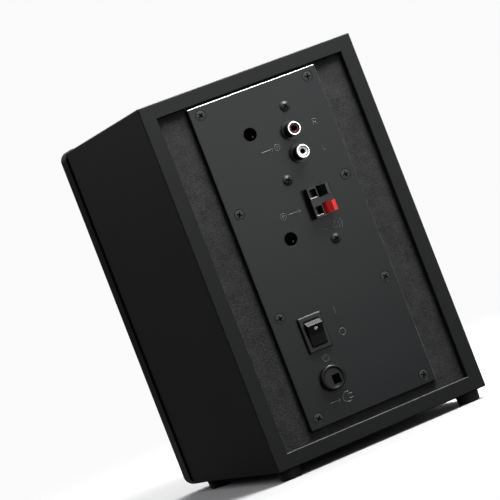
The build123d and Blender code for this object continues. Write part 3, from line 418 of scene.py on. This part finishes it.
def painted_steel(name, colour=(0.02, 0.02, 0.02)):
    m = Nodes(name)
    peel = m.noise(700, 3)
    m.colour(m.ramp(peel, [(0.3, colour), (0.7, tuple(c * 1.3 for c in colour))]))
    m.roughness(peel, 0.35, 0.5)
    m.bump(peel, 0.00003, 0.3)
    return m.material


def foam():
    m = Nodes("foam")
    pores = m.cells(1600)
    m.colour(m.ramp(pores, [(0.1, (0.004, 0.004, 0.004)), (0.6, (0.016, 0.016, 0.016))]))
    m.bump(pores, 0.00015, 0.7)
    m.set(Roughness=0.95)
    return m.material


def mark_highlight_paint():
    """Raised mark, painted lighter than the plate: painted highlight along its ridges."""
    m = Nodes("mark_highlight_paint")
    wear = m.noise(2500, 3)
    m.colour(m.ramp(wear, [(0.35, (0.08, 0.082, 0.082)), (0.6, (0.14, 0.142, 0.145))]))
    m.roughness(wear, 0.3, 0.45)
    return m.material


MATERIALS = {
    "vinyl_board": black_vinyl(),
    "rear_board": rear_board_vinyl(),
    "baffle_board": painted_steel("baffle_vinyl", (0.012, 0.012, 0.012)),
    "wadding": wadding(),
    "plate_paint": plate_paint(),
    "foam": foam(),
    "black_screw": moulded_plastic("black_screw", (0.024, 0.0255, 0.026), (0.34, 0.46), 900),
    "plated_screw": moulded_plastic("plated_screw", (0.024, 0.0255, 0.026), (0.4, 0.52), 900),
    "painted_recess_shade": painted_shade_black("painted_recess_shade"),
    "dark_contact": plated_metal("dark_contact", (0.03, 0.03, 0.03), (0.4, 0.6)),
    "brass": plated_metal("brass", (0.7, 0.52, 0.24), (0.25, 0.4)),
    "circuit_board": circuit_board(),
    "alloy": plated_metal("alloy", (0.6, 0.61, 0.62), (0.3, 0.45), 260),
    "chip_plastic": moulded_plastic("chip_plastic", (0.014, 0.014, 0.014), (0.5, 0.7)),
    "can_sleeve": moulded_plastic("can_sleeve", (0.012, 0.018, 0.06), (0.15, 0.3)),
    "black_plastic": moulded_plastic("black_plastic", (0.008, 0.008, 0.0084), (0.24, 0.36)),
    "chrome": rca_metal(),
    "red_plastic": moulded_plastic("red_plastic", (0.66, 0.02, 0.022), (0.3, 0.45)),
    "dark_red_plastic": moulded_plastic("dark_red_plastic", (0.055, 0.0012, 0.0018), (0.3, 0.45)),
    "white_plastic": moulded_plastic("white_plastic", (0.8, 0.8, 0.78), (0.3, 0.4)),
    "gloss_black_plastic": moulded_plastic("gloss_black_plastic", (0.003, 0.003, 0.003), (0.2, 0.3)),
    "tinned_metal": plated_metal("tinned_metal", (0.72, 0.72, 0.7), (0.18, 0.3)),
    "lamination_steel": laminations(),
    "winding_tape": moulded_plastic("winding_tape", (0.6, 0.42, 0.05), (0.25, 0.4)),
    "zinc_steel": plated_metal("zinc_steel", (0.5, 0.5, 0.47), (0.25, 0.4)),
    "basket_steel": painted_steel("basket_steel"),
    "motor_steel": plated_metal("motor_steel", (0.45, 0.45, 0.43), (0.3, 0.45)),
    "ferrite": painted_steel("ferrite", (0.03, 0.03, 0.032)),
    "copper_coil": plated_metal("copper_coil", (0.6, 0.25, 0.12), (0.25, 0.4)),
    "spider_cloth": woven("spider_cloth", (0.45, 0.33, 0.12), 1600, 0.0001),
    "cone_paper": paper_cone(),
    "rubber": rubber(),
    "dome_silk": woven("dome_silk", (0.03, 0.03, 0.03), 3000, 0.00005, 0.6),
    "grille_cloth": woven("grille_cloth", (0.042, 0.042, 0.044), 640, 0.00035),
    "lead_sleeve": moulded_plastic("lead_sleeve", (0.4, 0.015, 0.015), (0.3, 0.45)),
}


# Nodes whose finish differs a little from their slot's own. The jacks get painted shade, near-black with next to
# no shine, so their holes read dark.
FINISHES = {
    "rca_insulator_red": "dark_red_plastic",
    "input_jack": "painted_recess_shade",
    "output_jack": "painted_recess_shade",
}


def dress_frame():
    """Every CAD node gets the finish of its slot."""
    for row in frame["record"]["subparts"]:
        mesh = frame["nodes"][row["node"]].data
        mesh.materials.clear()
        finish = FINISHES.get(row["node"], row["material_slot"])
        mesh.materials.append(MATERIALS[finish])


# ---------------------------------------------------------------- new pieces
def mesh_object(name, verts, faces, material, smooth=True):
    mesh = bpy.data.meshes.new(name)
    mesh.from_pydata(verts, [], faces)
    mesh.update()
    piece = bpy.data.objects.new(name, mesh)
    bpy.context.scene.collection.objects.link(piece)
    if smooth:
        mesh.polygons.foreach_set("use_smooth", [True] * len(mesh.polygons))
    mesh.materials.append(material)
    return piece


def turned_mesh(name, profile, axis_x, axis_z, material, steps):
    """Mesh turned about a line along Y. The profile is a closed list of (radius, y)."""
    verts, faces = [], []
    count = len(profile)
    for i in range(steps):
        angle = 2 * math.pi * i / steps
        for radius, y in profile:
            verts.append((axis_x + radius * math.cos(angle), y, axis_z + radius * math.sin(angle)))
    for i in range(steps):
        here, there = i * count, (i + 1) % steps * count
        for j in range(count):
            k = (j + 1) % count
            faces.append((here + j, here + k, there + k, there + j))
    piece = mesh_object(name, verts, faces, material)
    outward_normals(piece)
    return piece


def outward_normals(piece):
    work = bmesh.new()
    work.from_mesh(piece.data)
    bmesh.ops.recalc_face_normals(work, faces=work.faces)
    work.to_mesh(piece.data)
    work.free()


def radial_blend(piece, inner_body, outer_body, inner_r, outer_r, axis_x, axis_z):
    """A ring that follows one body at its inner radius and the other at its outer radius.
    """
    middle = Vector((axis_x, span("woofer_cone")[0].y, axis_z))
    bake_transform(piece, outer_body, inner_body, start=middle, end=middle + Vector((0, -0.05, 0)))
    weights = piece.data.attributes["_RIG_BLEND"]
    for vertex in piece.data.vertices:
        radius = math.hypot(vertex.co.x - axis_x, vertex.co.z - axis_z)
        part = min(1.0, max(0.0, (outer_r - radius) / (outer_r - inner_r)))
        weights.data[vertex.index].value = part * part * (3 - 2 * part)


# ---------------------------------------------------------------- marks on the plate
def circle_mark(u, v, radius, start=0, sweep=360, steps=20):
    angles = [math.radians(start + sweep * i / steps) for i in range(steps + 1)]
    return [(u + radius * math.cos(a), v + radius * math.sin(a)) for a in angles]


ARROW_TIP = [(-0.9, 0.8), (0, 0), (-0.9, -0.8)]


def arrow_mark(start, end):
    tip = [(end + u, v) for u, v in ARROW_TIP]
    return [[(start, 0), (end, 0)], tip]


LETTER_R = [[(-0.8, -1.3), (-0.8, 1.3), (0.4, 1.3), (0.9, 0.9), (0.9, 0.4), (0.4, 0), (-0.8, 0)],
            [(0.1, 0), (0.9, -1.3)]]
LETTER_L = [[(-0.7, 1.3), (-0.7, -1.3), (0.8, -1.3)]]
INPUT = arrow_mark(-4.2, 1.2) + [circle_mark(3.2, 0, 1.3), circle_mark(3.2, 0, 0.45)]
OUTPUT = [circle_mark(-3.4, 0, 1.3), circle_mark(-3.4, 0, 0.45)] + arrow_mark(-1.2, 4.2)
SPEAKER_OUT = arrow_mark(-6.0, -1.6) + [
    [(0, -0.6), (0, 0.6), (0.9, 0.6), (2.0, 1.5), (2.0, -1.5), (0.9, -0.6), (0, -0.6)],
    circle_mark(1.6, 0, 1.8, -38, 76, 8), circle_mark(1.6, 0, 3.0, -38, 76, 8)]
ON_MARK = [[(0, -1.4), (0, 1.4)]]
OFF_MARK = [circle_mark(0, 0, 1.4)]
POWER = [circle_mark(0, 0, 1.5, 120, 300), [(0, 0.4), (0, 2.1)]]
POWER_IN = arrow_mark(-4.6, -0.4) + [
    circle_mark(2.4, 0, 1.8, 90, 180, 12), [(2.4, 1.8), (3.6, 1.8)], [(2.4, -1.8), (3.6, -1.8)],
    [(3.0, 0.8), (4.6, 0.8)], [(3.0, -0.8), (4.6, -0.8)]]
# Places are millimetres from the plate's middle, seen from behind, and the last number is a scale.
MARKS = [
    (29.1, 67.0, LETTER_R, 1.4), (28.7, 51.6, LETTER_L, 1.4), (-2.8, 60.6, INPUT, 1.35),
    (-5.4, 21.9, OUTPUT, 1.5), (15.2, 6.7, SPEAKER_OUT, 1.5), (-1.9, -38.7, ON_MARK, 1.5),
    (-2.1, -51.9, OFF_MARK, 1.4), (-17.5, -62.4, POWER, 1.3), (-17.8, -87.6, POWER_IN, 1.6),
]
MARK_RIDGE = 0.24 * MM


def plate_marks():
    """Raised lines moulded on the plate: channel letters and simple signs."""
    middle = (PLATE_LOW + PLATE_HIGH) / 2
    data = bpy.data.curves.new("plate_marks", "CURVE")
    data.dimensions = "3D"
    data.bevel_depth = MARK_RIDGE
    data.bevel_resolution = 1
    for u0, v0, lines, scale in MARKS:
        for line in lines:
            spline = data.splines.new("POLY")
            spline.points.add(len(line) - 1)
            for point, (u, v) in zip(spline.points, line):
                across, up = (u0 + u * scale) * MM, (v0 + v * scale) * MM
                point.co = (middle.x - across, PLATE_FACE, middle.z + up, 1)
    curve = bpy.data.objects.new("plate_marks_line", data)
    bpy.context.scene.collection.objects.link(curve)
    solid = curve.evaluated_get(bpy.context.evaluated_depsgraph_get())
    mesh = bpy.data.meshes.new_from_object(solid)
    bpy.data.objects.remove(curve)
    piece = bpy.data.objects.new("plate_marks", mesh)
    bpy.context.scene.collection.objects.link(piece)
    mesh.materials.clear()
    # The marks' lighter colour is painted highlight along their ridges.
    mesh.materials.append(mark_highlight_paint())
    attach(piece, "cabinet")


# ---------------------------------------------------------------- small rear parts
CONTACT_SETBACK = 1.4 * MM
CONTACT_END_GAP = 1.0 * MM
CONTACT_RADII = (1.62 * MM, 1.25 * MM)
CONTACT_EASE = 0.15 * MM

# The rocker's dot lies on the paddle's upper face: up it and out of it from the pivot, before it leans.
ROCKER_LEAN = math.radians(14.0)
DOT_ALONG = 3.627 * MM
DOT_OUT = 4.926 * MM
DOT_FACING = Vector((0, 0.9255, -0.3788))
DOT_RADIUS = 1.0 * MM
DOT_PROUD = 0.06 * MM
DOT_STEPS = 28

# Screws on the plate: millimetres from its middle, and the cross's top above the plate's face.
SUNK_SCREWS = [(x, z) for x in (35.0, -35.3) for z in (93.1, 32.1, -31.7, -92.9)]
PAN_SCREWS = [(-15.2, 81.4), (-0.3, 40.7), (-15.0, -0.5)]
SUNK_CROSS_TOP = -0.12
PAN_CROSS_TOP = 1.45
CROSS_TURNS = (38, 64, 17, 52, 80, 9, 45, 71)
CROSS_SPAN = 3.44 * MM
CROSS_SLOT = 0.8 * MM
CROSS_DEPTH = 0.6 * MM

# A jack's leaf, millimetres: across from the socket's middle, and out of its face.
LEAF_LINE = [(-2.6, 0.0), (-2.6, 0.9), (-2.2, 1.3), (-1.5, 1.1)]
LEAF_BELOW = 1.6 * MM
LEAF_WIDTH = 1.1 * MM
LEAF_THICK = 0.2 * MM


def rca_contact(colour):
    """Split spring socket deep inside the coloured sleeve."""
    low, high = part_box("rca_insulator_" + colour)
    middle = (low + high) / 2
    front, back = high.y - CONTACT_SETBACK, low.y + CONTACT_END_GAP
    outer, inner = CONTACT_RADII
    profile = [(outer, back), (outer, front), (inner + CONTACT_EASE, front),
               (inner, front - 2 * CONTACT_EASE), (inner, back)]
    dark = MATERIALS["dark_contact"]
    piece = turned_mesh("rca_contact_" + colour, profile, middle.x, middle.z, dark, 24)
    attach(piece, "cabinet")


def joint_named(name):
    return next(j for j in frame["joints"] if j["name"] == name)


def rocker_dot():
    """White dot printed near the raised end of the paddle."""
    pivot = Vector(joint_named("power_switch")["pos_m"])
    lean_cos, lean_sin = math.cos(ROCKER_LEAN), math.sin(ROCKER_LEAN)
    centre = pivot + Vector((0, DOT_OUT * lean_cos + DOT_ALONG * lean_sin,
                             DOT_ALONG * lean_cos - DOT_OUT * lean_sin))
    side = Vector((1, 0, 0))
    up = DOT_FACING.cross(side)
    verts = [centre + DOT_FACING * DOT_PROUD * 1.3]
    for scale, lift in ((0.75, DOT_PROUD * 1.2), (1.0, DOT_PROUD * 0.6), (1.0, -DOT_PROUD)):
        for i in range(DOT_STEPS):
            angle = 2 * math.pi * i / DOT_STEPS
            out = side * math.cos(angle) + up * math.sin(angle)
            verts.append(centre + out * DOT_RADIUS * scale + DOT_FACING * lift)
    following = [(i + 1) % DOT_STEPS for i in range(DOT_STEPS)]
    faces = [(0, 1 + i, 1 + j) for i, j in enumerate(following)]
    for ring in (0, 1):
        a, b = 1 + ring * DOT_STEPS, 1 + (ring + 1) * DOT_STEPS
        faces += [(a + i, b + i, b + j, a + j) for i, j in enumerate(following)]
    piece = mesh_object("rocker_dot", verts, faces, MATERIALS["white_plastic"])
    outward_normals(piece)
    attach(piece, "power_rocker")


def shade_cross(work, centre, outward, turn):
    """Adds a painted-shade cross, a black sheet that lies in a screw's recess, its top at `centre`."""
    side = Vector((1, 0, 0))
    up = outward.cross(side)
    spin = math.radians(turn)
    a = side * math.cos(spin) + up * math.sin(spin)
    b = up * math.cos(spin) - side * math.sin(spin)
    half, slot = CROSS_SPAN / 2, CROSS_SLOT / 2
    outline = [(half, slot), (slot, slot), (slot, half), (-slot, half), (-slot, slot), (-half, slot),
               (-half, -slot), (-slot, -slot), (-slot, -half), (slot, -half), (slot, -slot), (half, -slot)]
    tops = [work.verts.new(centre + a * u + b * v) for u, v in outline]
    floors = [work.verts.new(centre + a * u + b * v - outward * CROSS_DEPTH) for u, v in outline]
    work.faces.new(tops)
    work.faces.new(floors[::-1])
    count = len(outline)
    for i in range(count):
        j = (i + 1) % count
        work.faces.new((tops[j], tops[i], floors[i], floors[j]))


def screw_recess_shade():
    """Painted shade: black crosses laid in the cross recesses of the screws on the rear plate."""
    work = bmesh.new()
    outward = Vector((0, 1, 0))
    middle = (PLATE_LOW + PLATE_HIGH) / 2
    for places, lift in ((SUNK_SCREWS, SUNK_CROSS_TOP), (PAN_SCREWS, PAN_CROSS_TOP)):
        for (x, z), turn in zip(places, CROSS_TURNS):
            centre = Vector((middle.x + x * MM, PLATE_FACE + lift * MM, middle.z + z * MM))
            shade_cross(work, centre, outward, turn)
    mesh = bpy.data.meshes.new("screw_recess_shade")
    bmesh.ops.recalc_face_normals(work, faces=work.faces)
    work.to_mesh(mesh)
    work.free()
    piece = bpy.data.objects.new("screw_recess_shade", mesh)
    bpy.context.scene.collection.objects.link(piece)
    mesh.materials.append(MATERIALS["painted_recess_shade"])
    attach(piece, "cabinet")


def jack_leaf(node):
    """Springy contact that shows inside the round hole of a 3.5 mm socket."""
    low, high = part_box(node)
    middle = (low + high) / 2
    verts, faces = [], []
    for u, d in LEAF_LINE:
        for side in (-1, 1):
            for lift in (0, LEAF_THICK):
                z = middle.z - LEAF_BELOW + side * LEAF_WIDTH / 2
                verts.append((middle.x + u * MM + lift, high.y + d * MM, z))
    for i in range(len(LEAF_LINE) - 1):
        a, b = 4 * i, 4 * (i + 1)
        faces += [(a, a + 2, b + 2, b), (a + 1, b + 1, b + 3, a + 3),
                  (a, b, b + 1, a + 1), (a + 2, a + 3, b + 3, b + 2)]
    end = 4 * (len(LEAF_LINE) - 1)
    faces += [(0, 1, 3, 2), (end, end + 2, end + 3, end + 1)]
    piece = mesh_object(node + "_leaf", verts, faces, MATERIALS["tinned_metal"], smooth=False)
    outward_normals(piece)
    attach(piece, "cabinet")


# ---------------------------------------------------------------- soft pieces
def grille_sheet():
    """Stretched cloth: held round its edge, very slightly hollow over the frame's opening."""
    low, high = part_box("grille_cloth")
    middle = (low + high) / 2
    half = (high - low) / 2
    across, tall, thick = 44, 72, 0.45 * MM
    dip = 0.5 * MM
    verts = []
    for layer in (0, 1):
        for j in range(tall + 1):
            for i in range(across + 1):
                u, v = 2 * i / across - 1, 2 * j / tall - 1
                hollow = max(0.0, 1 - abs(u) ** 4) * max(0.0, 1 - abs(v) ** 4)
                y = low.y + 0.05 * MM + dip * hollow * 0.5 + layer * thick
                verts.append((middle.x + u * half.x, y, middle.z + v * half.z))
    layer_size = (across + 1) * (tall + 1)

    def at(i, j, layer):
        return layer * layer_size + j * (across + 1) + i

    faces = []
    for j in range(tall):
        for i in range(across):
            faces.append((at(i, j, 0), at(i + 1, j, 0), at(i + 1, j + 1, 0), at(i, j + 1, 0)))
            faces.append((at(i, j, 1), at(i, j + 1, 1), at(i + 1, j + 1, 1), at(i + 1, j, 1)))
    for i in range(across):
        faces.append((at(i, 0, 0), at(i, 0, 1), at(i + 1, 0, 1), at(i + 1, 0, 0)))
        faces.append((at(i, tall, 0), at(i + 1, tall, 0), at(i + 1, tall, 1), at(i, tall, 1)))
    for j in range(tall):
        faces.append((at(0, j, 0), at(0, j + 1, 0), at(0, j + 1, 1), at(0, j, 1)))
        faces.append((at(across, j, 0), at(across, j, 1), at(across, j + 1, 1), at(across, j + 1, 0)))
    piece = mesh_object("grille_sheet", verts, faces, MATERIALS["grille_cloth"])
    outward_normals(piece)
    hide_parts("grille_cloth")
    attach(piece, "grille")


def wadding_pad():
    """Loose polyester wadding against the left wall, thick in the middle and thin at its edges."""
    low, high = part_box("damping_pad")
    middle = (low + high) / 2
    half = (high - low) / 2
    count_y, count_z = 30, 48
    verts, faces = [], []
    for side in (0, 1):
        for j in range(count_z + 1):
            for i in range(count_y + 1):
                u, v = 2 * i / count_y - 1, 2 * j / count_z - 1
                crown = (max(0.0, 1 - u ** 6) * max(0.0, 1 - v ** 6)) ** 0.6
                lumps = 0.86 + 0.07 * math.sin(7.3 * u + 2.1 * v) * math.cos(9.1 * v - 1.7 * u)
                lumps += 0.04 * math.sin(17 * u - 11 * v)
                pull = 1 - 0.03 * math.cos(math.pi * u) * (abs(v) > 0.9) - 0.02 * abs(math.sin(5 * v))
                depth = side * (0.1 + 0.9 * crown * lumps) * 2 * half.x
                y = middle.y + u * half.y * pull * 0.98
                verts.append((low.x + depth, y, middle.z + v * half.z * 0.98))
    size = (count_y + 1) * (count_z + 1)
    for j in range(count_z):
        for i in range(count_y):
            a = j * (count_y + 1) + i
            b, c, d = a + 1, a + count_y + 2, a + count_y + 1
            faces.append((a, d, c, b))
            faces.append((a + size, b + size, c + size, d + size))
    rim = [j * (count_y + 1) for j in range(count_z + 1)]
    rim += [count_z * (count_y + 1) + i for i in range(1, count_y + 1)]
    rim += [j * (count_y + 1) + count_y for j in range(count_z - 1, -1, -1)]
    rim += [i for i in range(count_y - 1, 0, -1)]
    for a, b in zip(rim, rim[1:] + rim[:1]):
        faces.append((a, b, b + size, a + size))
    piece = mesh_object("wadding_pad", verts, faces, MATERIALS["wadding"])
    outward_normals(piece)
    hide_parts("damping_pad")
    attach(piece, "cabinet")


# The woofer's soft rings, measured from its axis.
SURROUND_INNER = 36.4 * MM
SURROUND_THICK = 0.6 * MM
ROLL_R = 3.6 * MM
ROLL_MIDDLE = 41.6 * MM
SURROUND_FLEX = (38.0 * MM, 45.2 * MM)
SPIDER_INNER = 10.15 * MM
SPIDER_FLAT_FROM = 24.2 * MM
SPIDER_THICK = 0.5 * MM
SPIDER_WAVE = 1.1 * MM


def rubber_surround():
    """Half-roll of rubber that rolls with the cone."""
    low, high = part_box("woofer_surround")
    centre = (low + high) / 2
    outer = (high.x - low.x) / 2
    seat = high.y
    steps = 18
    face = seat - SURROUND_THICK
    front = [(SURROUND_INNER, face)]
    for i in range(steps + 1):
        angle = math.pi * (1 - i / steps)
        front.append((ROLL_MIDDLE + ROLL_R * math.cos(angle), face - ROLL_R * math.sin(angle)))
    front.append((outer, face))
    inside = ROLL_R - SURROUND_THICK
    hollow = seat - SURROUND_THICK * 0.2
    back = [(outer, seat)]
    for i in range(steps + 1):
        angle = math.pi * i / steps
        back.append((ROLL_MIDDLE + inside * math.cos(angle), hollow - inside * math.sin(angle)))
    back.append((SURROUND_INNER, seat))
    piece = turned_mesh("rubber_surround", front + back, centre.x, centre.z, MATERIALS["rubber"], 128)
    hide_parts("woofer_surround")
    radial_blend(piece, "woofer_cone", "cabinet", *SURROUND_FLEX, centre.x, centre.z)


def cloth_spider():
    """Corrugated cloth disc behind the cone."""
    low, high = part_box("woofer_spider")
    centre = (low + high) / 2
    outer = (high.x - low.x) / 2
    base = (low.y + high.y) / 2 + SPIDER_THICK / 2
    line = []
    steps = 60
    for i in range(steps + 1):
        radius = SPIDER_INNER + (SPIDER_FLAT_FROM - SPIDER_INNER) * i / steps
        phase = 5 * math.pi * i / steps
        line.append((radius, base - SPIDER_WAVE * math.sin(phase)))
    line.append((outer, base))
    back = [(r, y - SPIDER_THICK) for r, y in reversed(line)]
    piece = turned_mesh("cloth_spider", line + back, centre.x, centre.z, MATERIALS["spider_cloth"], 96)
    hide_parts("woofer_spider")
    radial_blend(piece, "woofer_cone", "cabinet", SPIDER_INNER, SPIDER_FLAT_FROM, centre.x, centre.z)


# ---------------------------------------------------------------- stage
BACKDROP = 0.96
FLOOR_HALF = 6.0
FLOOR_FADE = (0.12, 0.75)           # distance from the middle where the floor turns into backdrop
FLOOR_BOUNCE = 0.05
ROOM_DARK = (0.1, (0.025, 0.025, 0.025, 1))
ROOM_LIGHT = (0.9, (0.5, 0.5, 0.52, 1))


def make_floor():
    """Pale floor that fades into the backdrop away from the speaker, and sends little light back up."""
    mesh = bpy.data.meshes.new("floor")
    h = FLOOR_HALF
    mesh.from_pydata([(-h, -h, 0), (h, -h, 0), (h, h, 0), (-h, h, 0)], [], [(0, 1, 2, 3)])
    floor = bpy.data.objects.new("floor", mesh)
    bpy.context.scene.collection.objects.link(floor)
    m = Nodes("floor_pale")
    m.set(Roughness=0.9, Specular_IOR_Level=0.1)
    m.colour(m.ramp(m.noise(2, 2), [(0.3, (0.62, 0.62, 0.62)), (0.7, (0.64, 0.64, 0.64))]))
    distance = m.add("ShaderNodeVectorMath")
    distance.operation = "LENGTH"
    m.link(m.place, distance.inputs[0])
    fade = m.add("ShaderNodeMapRange")
    fade.interpolation_type = "SMOOTHSTEP"
    fade.inputs["From Min"].default_value = FLOOR_FADE[0]
    fade.inputs["From Max"].default_value = FLOOR_FADE[1]
    m.link(distance.outputs["Value"], fade.inputs["Value"])
    glow = m.add("ShaderNodeEmission")
    glow.inputs["Color"].default_value = (BACKDROP, BACKDROP, BACKDROP, 1)
    blend = m.add("ShaderNodeMixShader")
    m.link(fade.outputs["Result"], blend.inputs["Fac"])
    m.link(m.shader.outputs[0], blend.inputs[1])
    m.link(glow.outputs[0], blend.inputs[2])
    dim = m.add("ShaderNodeBsdfDiffuse")
    dim.inputs["Color"].default_value = (FLOOR_BOUNCE, FLOOR_BOUNCE, FLOOR_BOUNCE, 1)
    path = m.add("ShaderNodeLightPath")
    seen = m.add("ShaderNodeMixShader")
    m.link(path.outputs["Is Camera Ray"], seen.inputs["Fac"])
    m.link(dim.outputs[0], seen.inputs[1])
    m.link(blend.outputs[0], seen.inputs[2])
    m.link(seen.outputs[0], m.tree.nodes["Material Output"].inputs["Surface"])
    mesh.materials.append(m.material)


def area_light(name, place, aim, size, power):
    data = bpy.data.lights.new(name, "AREA")
    data.energy = power
    data.size = size
    light = bpy.data.objects.new(name, data)
    bpy.context.scene.collection.objects.link(light)
    light.location = place
    light.rotation_euler = (Vector(aim) - Vector(place)).to_track_quat("-Z", "Y").to_euler()


def make_world():
    """Pale backdrop to the eye. As a source of light, a dim room that brightens towards the ceiling."""
    world = bpy.data.worlds.new("studio")
    bpy.context.scene.world = world
    world.use_nodes = True
    tree = world.node_tree
    tree.nodes.clear()
    output = tree.nodes.new("ShaderNodeOutputWorld")
    mix = tree.nodes.new("ShaderNodeMixShader")
    path = tree.nodes.new("ShaderNodeLightPath")
    seen = tree.nodes.new("ShaderNodeBackground")
    seen.inputs["Color"].default_value = (BACKDROP, BACKDROP, BACKDROP, 1)
    lit = tree.nodes.new("ShaderNodeBackground")
    place = tree.nodes.new("ShaderNodeTexCoord")
    split = tree.nodes.new("ShaderNodeSeparateXYZ")
    ramp = tree.nodes.new("ShaderNodeValToRGB")
    for element, (position, colour) in zip(ramp.color_ramp.elements, (ROOM_DARK, ROOM_LIGHT)):
        element.position = position
        element.color = colour
    links = tree.links
    links.new(place.outputs["Generated"], split.inputs[0])
    links.new(split.outputs["Z"], ramp.inputs["Fac"])
    links.new(ramp.outputs["Color"], lit.inputs["Color"])
    links.new(path.outputs["Is Camera Ray"], mix.inputs["Fac"])
    links.new(lit.outputs[0], mix.inputs[1])
    links.new(seen.outputs[0], mix.inputs[2])
    links.new(mix.outputs[0], output.inputs["Surface"])


def make_lights():
    """Name, place, aim, size in metres and power in watts."""
    area_light("overhead", (-0.24, 0.36, 0.72), (0, 0.08, 0.15), 0.32, 9.5)
    area_light("top_strip", (-0.32, -0.28, 0.97), (0.01, 0.08, 0.1), 0.42, 8)
    area_light("ceiling_back", (-0.5, -1.1, 0.75), (0, 0, 0.15), 0.6, 8)
    area_light("rear_softbox", (-0.62, 1.65, 0.62), (0, 0.08, 0.12), 1.0, 3.4)
    area_light("plate_glow", (-0.55, 1.6, 0.2), (0, 0.08, 0.16), 0.3, 0.8)
    area_light("side_strip", (-1.5, -0.4, 0.25), (0, 0, 0.12), 0.8, 5)
    area_light("far_fill", (1.3, -1.4, 1.0), (0, 0, 0.12), 0.8, 5)


make_camera()
dress_frame()
plate_marks()
for colour in ("red", "white"):
    rca_contact(colour)
rocker_dot()
screw_recess_shade()
for node in ("input_jack", "output_jack"):
    jack_leaf(node)
grille_sheet()
wadding_pad()
rubber_surround()
cloth_spider()
make_floor()
make_world()
make_lights()
bpy.context.scene.view_settings.view_transform = "Standard"
